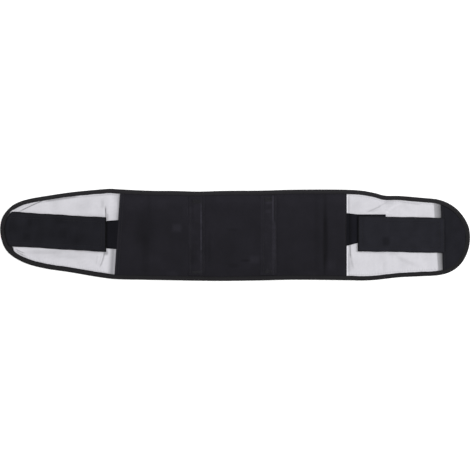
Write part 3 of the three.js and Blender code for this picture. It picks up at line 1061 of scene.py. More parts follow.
class SewingTable:
    """Sews rows of stitches on finished pieces.

    A row is laid in steps of point_step millimetres. Its thread's middle rides ride_height of the
    thread's radius above the cloth, and a straight stitch fills filled_share of its pitch.
    """

    point_step: float = 1.7
    ride_height: float = 0.3
    filled_share: float = 0.86

    def __init__(self) -> None:
        """Builds the stitch tree once."""
        self.stitches = StitchTree().tree
        self.made = 0

    @staticmethod
    def _drop(line: Array, cloths: Sequence[BVHTree], under: bool) -> Array:
        """Lays a plan line on the pieces.

        Args:
            line: points in plan, in millimetres.
            cloths: search trees of the pieces.
            under: True to lay it on the underside.

        Returns:
            Points in metres, without those that miss every piece.
        """
        way = 1.0 if under else -1.0
        laid = []
        away, toward = -way * 0.05, Vector((0, 0, way))
        for x, y in line * MM:
            hits = [cloth.ray_cast(Vector((x, y, away)), toward)[0] for cloth in cloths]
            found = [hit.z for hit in hits if hit]
            if found:
                laid.append((x, y, min(found) if under else max(found)))
        return np.array(laid)

    def sew(
        self,
        name: str,
        seams: Sequence[Seam],
        cloths: Sequence[bpy.types.Object],
        thread: ClothFinish,
        radius: float = 0.38,
        under: bool = False,
    ) -> bpy.types.Object:
        """Sews rows of stitches and joins them in one piece.

        Args:
            name: the piece's name.
            seams: the rows.
            cloths: pieces that the rows lie on.
            thread: the thread's finish.
            radius: the thread's radius in millimetres.
            under: True for rows on the underside.

        Returns:
            The stitches.
        """
        depsgraph = bpy.context.evaluated_depsgraph_get()
        trees = [BVHTree.FromObject(cloth, depsgraph) for cloth in cloths]
        kinds: dict[tuple[float, float], list[Array]] = {}
        for seam in seams:
            run = np.concatenate([[0.0], np.cumsum(np.linalg.norm(np.diff(seam.line, axis=0), axis=1))])
            at = np.linspace(0.0, run[-1], max(3, int(run[-1] / self.point_step)))
            even = np.stack([np.interp(at, run, seam.line[:, k]) for k in (0, 1)], 1)
            laid = self._drop(even, trees, under)
            if len(laid) > 2:
                laid[:, 2] += (-self.ride_height if under else self.ride_height) * radius * MM
                laid[:, 2] = np.maximum(laid[:, 2], radius * MM)
                kinds.setdefault((seam.pitch, seam.swing), []).append(laid)
        rows = []
        for (pitch, swing), lines in kinds.items():
            inputs = {
                "Pitch": pitch * MM,
                "Swing": swing * MM,
                "Thread radius": radius * MM,
                "Filled share": self.filled_share if swing == 0 else 1.0,
                "Seed": 3 + self.made,
                "Cover": thread.material(),
            }
            rows.append(grow(f"{name}_{len(rows)}", lines, self.stitches, inputs))
            self.made += 1
        first = rows[0]
        with bpy.context.temp_override(active_object=first, selected_editable_objects=rows, object=first):
            bpy.ops.object.join()
        first.name = name
        mesh = first.data
        mesh.name = name
        mesh.materials.clear()
        mesh.materials.append(thread.material())
        LOG.info("%s: %d stitch faces", name, len(mesh.polygons))
        return first


# The belt's own pieces.
# Patches and creases painted lighter and darker: mostly painted light and shade on swells, dents and folds.
PANEL_SHADES = (
    Shade(-200, 18, 22, 36, -0.17, -0.3),
    Shade(-199, -40, 9, 45, -0.12, -0.2),
    Shade(-229, 68, 22, 15, 0.13, 0.1),
    Shade(-163, 67, 15, 11, 0.13, 0.1),
    Shade(-181, -54, 17, 10, 0.09),
    Shade(-141, -87, 12, 7, 0.15),
    Shade(-129.3, 14.9, 10.5, 9.2, 0.46, 0.7),
    Shade(-34, 80, 10, 8, 0.1),
    Shade(-56.8, -30, 3.5, 38, -0.12),
    Shade(-110, 52, 6, 24, 0.06),
    Shade(42.2, -54.5, 11, 9.0, 0.38, 0.7),
    Shade(22.5, -57.3, 10, 2.2, -0.28, -0.3),
    Shade(-5, 11, 12, 2.6, -0.17, -0.15),
    Shade(-4, -68, 12, 5, -0.14, -0.1),
    Shade(-191, 66, 5, 26, -0.1),
    Shade(180, 2, 6, 95, -0.09),
    Shade(199.5, -16, 5.4, 60, -0.35, -0.6),
    Shade(198.5, 50, 3.6, 44, -0.2, -0.4),
    Shade(212, -70, 11, 12, 0.16, 0.2),
    Shade(172, -86, 15, 7, 0.13),
    Shade(120, 40, 30, 40, 0.05),
)
PANEL_CREASES = (
    Crease(198.4, -40, 197.6, -92, -0.4, 3.0, -0.3, 1.6),
    Crease(-105.4, 63, -105.4, 40, 0.15, 1.2, 0.25, 1.0),
)
# Each stay's painted highlight: height on the belt, distance from the stay's middle, half width, tone.
LEFT_RIDGE = (
    (80, 10.5, 1.3, 0.15),
    (62, 10.5, 1.5, 0.5),
    (43, 10.5, 1.7, 0.95),
    (25, 10.5, 1.7, 0.95),
    (14, 10.5, 1.5, 0.55),
    (4, 10.5, 1.7, 1.05),
    (-29, 10.5, 1.7, 1.0),
    (-37, 10.5, 1.5, 0.4),
    (-80, 10.5, 1.5, 0.25),
)
RIGHT_RIDGE = (
    (90, 10.0, 1.4, 1.1),
    (60, 10.0, 1.4, 1.0),
    (32, 10.2, 1.5, 0.8),
    (24, 12.8, 3.6, 0.55),
    (-50, 12.8, 3.6, 0.55),
    (-58, 11.2, 2.2, 0.4),
    (-85, 11.2, 2.0, 0.35),
)
LEFT_CASING_SHADES = (
    Shade(-98.3, 51.5, 1.5, 11, 0.45),
    Shade(-98, 2, 7, 28, 0.14),
    Shade(-84, 62, 7, 6, 0.14),
    Shade(-88, -52, 9, 9, -0.1),
)
RIGHT_CASING_SHADES = (
    Shade(75, 72, 7, 3.4, 0.5),
    Shade(72, 52, 7, 4, 0.34),
    Shade(76, 60, 3, 4, -0.15),
    Shade(71, -80, 2.6, 5, 0.5),
    Shade(66, -10, 2.4, 60, 0.1),
)
LEFT_CREASES = (
    Crease(-479, 51.2, -408, 83.2, 0.9, 4.0, -0.75, 1.0, -0.8),
    Crease(-287.4, 63, -286.0, 30, 1.1, 4.0, -0.85, 1.0),
    Crease(-290.4, 58, -289.6, 38, 0.4, 2.0, 0.14, 1.0),
    Crease(-282.3, 47, -282.0, 32, 0.3, 2.0, -0.42, 1.0),
    Crease(-289.6, -40, -299.6, -71.5, 0.7, 3.0, -0.46, 1.2, -1.0),
    Crease(-296.0, -43, -303.0, -70, 0.4, 2.2, -0.1, 1.0),
    Crease(-305.0, -45, -307.8, -65, 0.4, 2.4, -0.12, 1.1),
    Crease(-487, -31.4, -467, -40.6, 0.3, 2.0, -0.5, 1.0, 0.6),
    Crease(-485.4, -35.4, -469, -44.6, 0.3, 2.0, -0.4, 1.0, 0.6),
    Crease(-476, -43, -462, -48, 0.3, 2.0, -0.24, 1.0),
    Crease(-352, 66, -330, 58, 0.2, 6.0, -0.02, 4.0),
    Crease(-400, -46, -350, -52, 0.3, 6.0, -0.04, 3.0),
)
RIGHT_CREASES = (
    Crease(292, 50, 323, 64.2, 0.8, 3.5, -0.3, 1.4, 0.6),
    Crease(318, 62.5, 338, 73.5, 0.5, 3.0, -0.12, 1.5),
    Crease(300, 50, 318, 56, 0.3, 2.0, -0.12, 1.2),
    Crease(339, 58.6, 369, 69.4, 0.7, 3.5, 0.08, 2.0),
    Crease(332, 47, 352, 62, 0.5, 3.0, 0.06, 2.0),
    Crease(368, 72.4, 411, 66.6, 0.3, 3.0, -0.17, 1.3),
    Crease(254.1, -10, 255.2, -50, 0.7, 3.0, -0.6, 1.2),
    Crease(255.3, -44, 261.8, -75, 0.5, 3.0, -0.14, 1.4, 0.8),
    Crease(356, -49, 401, -68, 0.5, 5.0, -0.07, 4.2, 1.5),
    Crease(331, 56, 343, 52, 0.15, 1.0, -0.1, 0.8),
    Crease(334, 50, 346, 47, 0.15, 1.0, 0.1, 0.8),
    Crease(338, 45.5, 348, 43.5, 0.1, 1.0, -0.1, 0.8),
    Crease(405, 40, 432, 48, 0.3, 4.0, -0.04, 3.0),
)
LEFT_SHADES = (
    Shade(-294, 68, 3.6, 9, -0.13),
    Shade(-286.5, -40, 5.0, 5.0, -0.45),
    Shade(-420, -38.5, 44, 4.6, -0.12),
    Shade(-495, 51, 5.5, 2.6, 0.22),
    Shade(-496, -33, 5.0, 7.0, -0.8),
    Shade(-340, 62, 26, 12, -0.05),
    Shade(-380, -43, 60, 10, -0.06),
    Shade(-275, 66, 6.0, 26, 0.05),
)
RIGHT_SHADES = (
    Shade(341, 71.5, 10, 4.2, -0.11),
    Shade(254, -68, 6.5, 12, -0.09),
    Shade(351, -42, 12, 3.8, -0.14),
    Shade(331.6, -70, 4.5, 12, -0.05),
    Shade(409, 62, 22, 7, 0.03),
    Shade(268, 66, 12, 10, -0.05),
)
LEFT_TAB_SHADES = (
    Shade(-472, 32, 14, 13, 0.16, 0.2),
    Shade(-461, -6, 9, 10, -0.18, -0.3),
    Shade(-455, 26, 5, 8, -0.15, -0.2),
    Shade(-422, 39, 12, 6, 0.12, 0.15),
    Shade(-384, 31, 13, 7, -0.13, -0.2),
    Shade(-382, 3, 9, 11, -0.14, -0.2),
    Shade(-330, 8, 26, 20, 0.05),
)
RIGHT_TAB_SHADES = (
    Shade(333.8, -14.5, 8.5, 10.5, -0.42, -0.8),
    Shade(278, 4, 9, 40, -0.14),
    Shade(419, -8, 8, 5, 0.14, 0.2),
    Shade(398, 20, 12, 12, -0.08),
    Shade(296, 18, 18, 12, 0.05),
    Shade(440, 0, 6, 30, 0.06),
)
# Crosswise bands of each elastic, painted lighter and darker; the dark one by the tab is its painted shadow:
# distance out from the seam, half width, tone.
LEFT_BANDS = ((1.2, 1.4, 0.12), (23.8, 2.4, -0.35))
RIGHT_BANDS = ((2.0, 2.5, 0.12), (6.3, 1.5, -0.45), (17.2, 5.6, 0.42), (25.2, 1.6, -0.15))
LEFT_EDGE_SHADES = (
    EdgeShade(-418, -350, 1, 10.6, 2.4, -0.42),
    EdgeShade(-335, -262, 1, 12.8, 1.1, -0.14),
    EdgeShade(-470, -330, -1, 10.5, 2.0, 0.07),
)
RIGHT_EDGE_SHADES = (
    EdgeShade(250, 330, 1, 10.4, 1.5, 0.08),
    EdgeShade(270, 440, -1, 10.4, 1.5, 0.07),
)


def painted_top_light(y: Array) -> Array:
    """Painted light: how much paler the brushed face of the panel's cloth is painted toward the top edge."""
    return 0.1 * ease(y, -15, 50) + 0.13 * ease(y, 56, 80) - 0.02


@dataclass
class BackPanel:
    """The padded panel: pressed thin under the tape, hemmed at both side seams.

    The cover is held for hold millimetres in from its edge and swells over the next ramp millimetres.
    Each stay's place is a share of the panel's length, and the cover is held stay_hold to both sides.
    """

    plan: BeltPlan
    finish: ClothFinish = LAMINATED_KNIT
    hold: float = 10.0
    ramp: float = 18.0
    columns: int = 256
    rows: int = 100
    left_hem: float = 8.0
    right_hem: float = 22.0
    stay_places: tuple[float, float] = (0.345, 0.659)
    stay_hold: float = 17.0
    shade_strength: float = 1.25
    settle: SettledCloth = SettledCloth(0.006, 1.2, 2.0)

    def plan_grid(self, columns: int, rows: int) -> tuple[Array, Array, Array, Array]:
        """Spreads a grid over the panel.

        Args:
            columns: columns along the belt.
            rows: rows across it.

        Returns:
            x, y, distance in from the nearer side seam, and distance in from the nearer long edge.
        """
        plan = self.plan
        flat = plan.left.seam + np.linspace(0.6, plan.panel - 0.8, columns)[:, None]
        low, high = plan.outline.edges(0.0, flat)
        y = lerp(low + plan.cloth_inset, high - plan.cloth_inset, np.linspace(0.0, 1.0, rows)[None, :])
        inset = np.minimum(y - low, high - y)
        out = flat - plan.left.seam
        fade = 1 - np.clip((out - plan.panel / 20) / (plan.panel / 8 - plan.panel / 20), 0.0, 1.0)
        x = flat + fade * plan.slant * y / plan.height
        inward = np.broadcast_to(np.minimum(out, plan.panel - out), y.shape)
        return x, y, inward, inset

    def base_top(self, inset: Array, inward: Array) -> Array:
        """Top of the plain padding.

        Args:
            inset: distances in from the nearer long edge.
            inward: distances in from the nearer side seam.

        Returns:
            Heights.
        """
        plan = self.plan
        edge = lerp(plan.flange_top, plan.panel_top, ease(inset, self.hold - 1, self.hold + self.ramp))
        seam = lerp(plan.flap_top, plan.panel_top, ease(inward, 0, plan.wing_lap + self.ramp))
        return np.minimum(edge, seam)

    def swelling(self) -> Array:
        """Lets the cover settle over its foam, held where it is sewn.

        Returns:
            The rise of the cover on the panel's full grid, in millimetres.
        """
        columns, rows = 128, 48
        x, y, inward, inset = self.plan_grid(columns, rows)
        held = (inset < self.hold + 1) | (inward < 3)
        for share in self.stay_places:
            held |= np.abs(x - self.plan.left.seam - share * self.plan.panel) < self.stay_hold
        start = self.base_top(inset, inward) + 0.15 * Ripple(45, 5).at(x, y)
        rise = self.settle.rise(x, y, start, held)
        return stretch_grid(np.clip(rise, -0.8, 1.1), self.columns, self.rows)

    def build(self) -> bpy.types.Object:
        """Builds the panel's mesh.

        Returns:
            The panel.
        """
        plan = self.plan
        x, y, inward, inset = self.plan_grid(self.columns, self.rows)
        top = self.base_top(inset, inward)
        free = ease(inset, self.hold, self.hold + self.ramp) * ease(inward, 2, 20)
        tone = np.zeros_like(top)
        relief = np.zeros_like(top)
        for crease in PANEL_CREASES:
            height, dark = crease.relief(x, y)
            relief += height
            tone += dark
        for shade in PANEL_SHADES:
            weight = shade.weight(x, y)
            relief += shade.rise * weight
            tone += self.shade_strength * shade.tone * weight
        # Each hem is a shallow groove with the cloth doubled outside it.
        out = x - plan.left.seam - plan.slant * y / plan.height
        near = plan.right.seam - x
        for line, side in ((self.left_hem, out), (self.right_hem, near)):
            relief -= 0.18 * np.exp(-(((side - line) / 1.8) ** 2))
            relief += 0.2 * (1 - ease(side, line - 2.5, line + 2.5))
        # Painted highlights beside both seams, and a painted shade line at the right seam's very edge.
        tone += 0.5 * np.exp(-(((out - 1.3) / 1.4) ** 2)) + 0.32 * np.exp(-(((near - 5.0) / 1.3) ** 2))
        tone -= 0.45 * np.exp(-(((near - 2.3) / 1.3) ** 2))
        # Where it lies free the cover swells and ripples, and beside the tape it puckers.
        relief += free * (self.swelling() + 0.07 * Ripple(14, 8).at(x, y) + 0.05 * Ripple(6, 9).at(x, y))
        pinch = np.exp(-(((inset - self.hold) / 2.2) ** 2))
        relief += pinch * 0.16 * np.sin(x * math.tau / 11 + 1.3 * Ripple(60, 12).at(x, y))
        high = top + relief * ease(inset, plan.tape_width - 0.5, plan.tape_width + 1.5)
        # At the side seams it lies on the wings' tongues, and its rim is held inside the tape.
        under = np.where(inward <= plan.wing_lap, plan.strap_low, 0.0)
        low = np.where(inset <= self.hold + 0.1, plan.rim_low, under)
        high = np.maximum(high, low + 0.8)
        # Painted light toward the top edge, and the cloth's own uneven tone.
        tone += painted_top_light(y) + 0.06 * Ripple(90, 21).at(x, y)
        return SheetGrid(x, y, low, high, x, y, tone).solid("back_panel_cover", self.finish, 0.7, -0.2)

    def seams(self) -> list[Seam]:
        """A row beside each side seam, and the row of the left hem.

        Returns:
            The rows of stitches.
        """
        plan = self.plan
        y = np.linspace(-100, 100, 120)
        rows = []
        for side, way, inwards in ((plan.left, 1, (2.6, self.left_hem)), (plan.right, -1, (2.6,))):
            for inward in inwards:
                x = side.seam_at(y, plan.height) + way * inward
                low, high = plan.outline.edges(plan.tape_width + 0.8, x)
                inside = (y > low) & (y < high)
                rows.append(Seam(np.stack([x, y], 1)[inside]))
        return rows


@dataclass
class StayCasing:
    """A strip sewn over an upright stay, with a bartack at each end.

    The share places it along the panel, sewn_at holds its rows' distances from its middle, and paler
    is how much lighter its cloth looks than the panel's.
    """

    panel: BackPanel
    name: str
    share: float
    top_tack: float
    stay_half: float
    sewn_at: tuple[float, ...]
    ridge: Sequence[tuple[float, float, float, float]]
    paler: float
    shades: Sequence[Shade]
    finish: ClothFinish = RIBBED_KNIT
    width: float = 36.0
    wall: float = 0.7
    rise: float = 1.55
    columns: int = 61
    rows: int = 120

    @property
    def middle(self) -> float:
        """X of the stay's middle line."""
        return self.panel.plan.left.seam + self.share * self.panel.plan.panel

    def build(self) -> bpy.types.Object:
        """Builds the casing's mesh.

        Returns:
            The casing.
        """
        plan, panel = self.panel.plan, self.panel
        off = np.linspace(-self.width / 2, self.width / 2, self.columns)[:, None]
        low_edge, high_edge = plan.outline.edges(0.0, self.middle + off)
        inset_low = panel.hold + 1
        y = lerp(low_edge + inset_low, high_edge - inset_low, np.linspace(0, 1, self.rows)[None, :])
        inset = np.minimum(y - low_edge, high_edge - y)
        x = self.middle + off + 0.35 * Ripple(70, 31).at(0 * y + self.share * 900, y)
        off = x - self.middle
        # The stay lifts the strip's middle, and a painted highlight lies on the ridge over its edge.
        low = panel.base_top(inset, np.full_like(y, plan.panel / 2)) + plan.gap
        ends = ease(inset, panel.hold + 3, panel.hold + 13)
        stay = ease(off + self.stay_half + 1.2, -1.5, 6.5) * ease(self.stay_half + 1.2 - off, 0, 2.6)
        stay = stay * (1 - 0.1 * (off / self.stay_half) ** 2)
        at, place, half, bright = np.array(sorted(self.ridge)).T
        centre, reach = np.interp(y, at, place), np.interp(y, at, half)
        highlight_unevenness = 1.1 + 0.3 * Ripple(11, 39).at(0 * off + self.share * 700, y)
        edge = np.interp(y, at, bright) * highlight_unevenness * np.exp(-np.abs((off - centre) / reach) ** 2.5)
        edge *= 1 + 0.17 * reach * np.exp(-(((off - centre + reach - 0.6) / 1.1) ** 2))
        rise = (self.rise * stay + 0.35 * edge) * ends
        # Stitches draw the cloth down, its ribs show beside the stay, and the bartack presses it flat.
        for line in self.sewn_at:
            rise -= 0.22 * np.exp(-(((off - line) / 1.0) ** 2))
        fine = np.sin(off * math.tau / 3.3) * (np.abs(off) > self.stay_half + 1)
        rise += 0.1 * fine + 0.1 * ends * Ripple(12, 33).at(x, y) * stay
        tack = np.exp(-(((y - self.top_tack) / 5.0) ** 4)) * (np.abs(off) < self.stay_half)
        rise -= 0.5 * tack * ends
        worn = 0.12 * np.clip(Ripple(17, 37).at(x, y), 0, 1) + 0.08 * Ripple(50, 35).at(x, y)
        # Painted light on the highlight, ribs' crests and top; painted shade in the pressed bartack.
        tone = painted_top_light(y) + self.paler + worn + 1.15 * edge + 0.09 * fine - 0.25 * tack
        # A painted shade line just outside the highlight.
        tone -= 0.2 * np.exp(-(((off - centre - reach - 1.3) / 1.1) ** 2)) * (y > -40)
        for shade in self.shades:
            tone += shade.tone * shade.weight(x, y)
        high = low + self.wall + np.maximum(rise, -0.3)
        return SheetGrid(x, y, low, high, x, y, tone).solid(self.name + "_cover", self.finish, 0.4, -0.15)

    def seams(self) -> list[Seam]:
        """Rows beside the stay and along its margin, and the bartacks.

        Returns:
            The rows of stitches.
        """
        plan = self.panel.plan
        low, high = plan.outline.edges(self.panel.hold + 4, np.array([self.middle]))
        y = np.linspace(-88, 88, 60)
        y = y[(y > low) & (y < high)]
        rows = [Seam(np.stack([np.full_like(y, self.middle + off), y], 1), 2.8) for off in self.sewn_at]
        for y_tack, half in ((self.top_tack, 4), (float(low[0]) + 4, 2)):
            for k in range(-half, half + 1, 2):
                ends = np.array([[-self.stay_half + 1, k], [self.stay_half - 1, k]])
                rows.append(Seam(ends + [self.middle, y_tack], 1.3, 2.4))
        return rows


@dataclass
class Wing:
    """A light mesh wing, drawn flat under tape, strap and tab, and free to crease between them."""

    plan: BeltPlan
    end: End
    creases: Sequence[Crease]
    shades: Sequence[Shade]
    edge_shades: Sequence[EdgeShade]
    seed: int
    finish: ClothFinish = WARP_MESH
    thickness: float = 1.4
    tape_row: float = 12.4
    panel_row: float = 4.6
    columns: int = 240
    rows: int = 130
    settle: SettledCloth = SettledCloth(0.0012, 0.2, 0.6)

    def plan_grid(self, columns: int, rows: int) -> tuple[Array, Array, Array]:
        """Spreads a grid over the part of the wing that lies free of the panel.

        Args:
            columns: columns along the belt.
            rows: rows across it.

        Returns:
            x, y and the distance out from the seam.
        """
        plan, end = self.plan, self.end
        loop = plan.outline.loop(plan.cloth_inset)
        reach = float(np.max((loop[:, 0] - end.seam) * end.way)) - 0.8
        out = 0.5 + (reach - 0.5) * np.sin(np.linspace(0, 1, columns) * math.pi / 2) ** 1.12
        if end.way < 0:
            out = out[::-1]
        out = out[:, None]
        flat = end.seam + end.way * out
        low, high = plan.outline.edges(plan.cloth_inset, flat)
        y = lerp(low, high, np.linspace(0, 1, rows)[None, :])
        fade = 1 - np.clip((out - end.length / 4) / (end.length / 4), 0.0, 1.0)
        x = flat + fade * end.slant * y / plan.height
        return x, y, np.broadcast_to(out, y.shape)

    def freedom(self, x: Array, y: Array, out: Array) -> Array:
        """How free the cloth is to rise at each point, from 0 to 1.

        Args:
            x: places along the belt.
            y: places across it.
            out: distances from the seam.

        Returns:
            The freedom at each point.
        """
        plan, end = self.plan, self.end
        free = ease(end.beside(out, y), 0.5, 9) * ease(plan.outline.depth(x, y), 9.5, 20) * ease(out, 1, 9)
        if end.way > 0:
            free = free * ease(plan.patch_edge(y) - x, 0, 12)
        return free

    def settled(self) -> Array:
        """Lets the wing's cloth settle between the places that hold it.

        Returns:
            The rise on the wing's full grid, in millimetres.
        """
        x, y, out = self.plan_grid(72, 52)
        free = self.freedom(x, y, out)
        start = self.plan.wing_top + 0.07 * Ripple(46, self.seed).at(x, y)
        rise = self.settle.rise(x, y, start, free < 0.02) + start - self.plan.wing_top
        return stretch_grid(np.clip(rise, -0.9, 1.8), self.columns, self.rows)

    def build(self) -> bpy.types.Object:
        """Builds the wing's mesh, with its tongue under the panel.

        Returns:
            The wing.
        """
        plan, end = self.plan, self.end
        x, y, out = self.plan_grid(self.columns, self.rows)
        free = self.freedom(x, y, out)
        relief = self.settled() + 0.05 * Ripple(13, self.seed + 1).at(x, y)
        tone = 0.018 * Ripple(60, self.seed + 2).at(x, y) + 0.012 * Ripple(7, self.seed + 3).at(x, y)
        for crease in self.creases:
            height, dark = crease.relief(x, y)
            relief += height
            tone += dark
        for shade in self.shades:
            tone += shade.tone * shade.weight(x, y)
        # Beside the tape: its painted shadow, and small gathers with painted light and shade, stronger
        # below.
        rim = plan.outline.depth(x, y)
        for shade in self.edge_shades:
            tone += shade.tone * shade.weight(x, y, rim)
        tone -= 0.05 * np.exp(-(((rim - plan.tape_width) / 1.4) ** 2))
        pucker = np.exp(-(((rim - 13.0) / 4.0) ** 2)) * (0.4 + 0.6 * (y < 0))
        gather = np.sin(x * math.tau / 5.2 + 2.4 * Ripple(40, 41).at(x, y))
        relief += pucker * 0.3 * gather
        tone += pucker * 0.06 * gather
        tone += self._panel_shade_and_show_through(x, y, out, rim)
        high = plan.wing_top + free * relief
        # Two more columns make the flat tongue that goes under the panel.
        tongue_out = np.array([-plan.wing_lap + 0.6, -0.5])
        if end.way < 0:
            tongue_out = tongue_out[::-1]
        tongue = end.seam + end.way * tongue_out[:, None]
        low_edge, high_edge = plan.outline.edges(16.0, tongue)
        tongue_y = lerp(low_edge, high_edge, np.linspace(0, 1, self.rows)[None, :])
        tongue_x = tongue + end.slant * tongue_y / plan.height
        level = np.full_like(tongue_y, plan.wing_top)
        pairs = ((tongue_x, x), (tongue_y, y), (level, high), (0 * tongue_y, tone))
        x, y, high, tone = (np.vstack(pair[:: end.way]) for pair in pairs)
        grid = SheetGrid(x, y, high - self.thickness, high, x, y, tone)
        return grid.solid(f"{end.name}_wing_mesh", self.finish, 0.3)

    def _panel_shade_and_show_through(self, x: Array, y: Array, out: Array, rim: Array) -> Array:
        """Painted shade and light beside the panel, and the tone where a dark layer below shows through.

        Args:
            x: places along the belt.
            y: places across it.
            out: distances from the seam.
            rim: depths inside the outline.

        Returns:
            The tone.
        """
        plan, end = self.plan, self.end
        if end.way < 0:
            # Painted shadow of the panel on the left wing.
            upper = -0.55 * np.exp(-out / 5.5) * (y > 0)
            lower = -0.5 * np.exp(-(((out - 6.5) / 6.5) ** 2)) * (y < 0)
            over_tab = 1 - ease(end.beside(out, y), -1.5, 0.0)
            # Darker within the tab's band next to the tape, near the tip.
            tip = -0.85 * (1 - ease(rim, 9.8, 10.8)) * over_tab * (out > 150)
            return upper + lower + tip
        # A painted highlight on the folded edge beside the panel, and painted shade just beyond it.
        seam = 0.34 * np.exp(-(((out - 1.6) / 1.2) ** 2)) - 0.12 * np.exp(-(((out - 5.0) / 2.0) ** 2))
        before = plan.patch_edge(y) - x
        reach = 14.1 + 0.033 * y
        shown = 0.45 + 0.4 * (1 - np.clip(before / reach, 0, 1)) ** 1.6
        shown = shown * (1 - ease(before, reach - 1.2, reach + 1.2))
        return seam - shown - 0.1 * (before < 0)

    def seams(self) -> list[Seam]:
        """The row inside the tape and the row beside the panel.

        Returns:
            The rows of stitches.
        """
        plan, end = self.plan, self.end
        loop = plan.outline.loop(self.tape_row)
        from_top = np.abs(loop[:, 0]) + np.abs(loop[:, 1] - plan.height / 2)
        loop = np.roll(loop, -int(np.argmin(from_top)), 0)
        out = (loop[:, 0] - end.seam) * end.way
        keep = (out > 5) & (end.beside(out, loop[:, 1]) > 1)
        if end.way > 0:
            keep &= plan.patch_edge(loop[:, 1]) - loop[:, 0] > 3
        rows = []
        for part in np.split(np.arange(len(loop)), np.flatnonzero(np.diff(keep.astype(int))) + 1):
            if keep[part[0]] and len(part) > 4:
                rows.append(Seam(loop[part], 3.0))
        for way in (-1, 1):
            y = np.linspace(0, way * 100, 60)
            x = end.seam_at(y, plan.height) + end.way * self.panel_row
            low, high = plan.outline.edges(self.tape_row, x)
            clear = (y > low) & (y < high) & (end.beside(np.full_like(y, self.panel_row), y) > 0.8)
            rows.append(Seam(np.stack([x, y], 1)[clear], 3.0))
        return rows


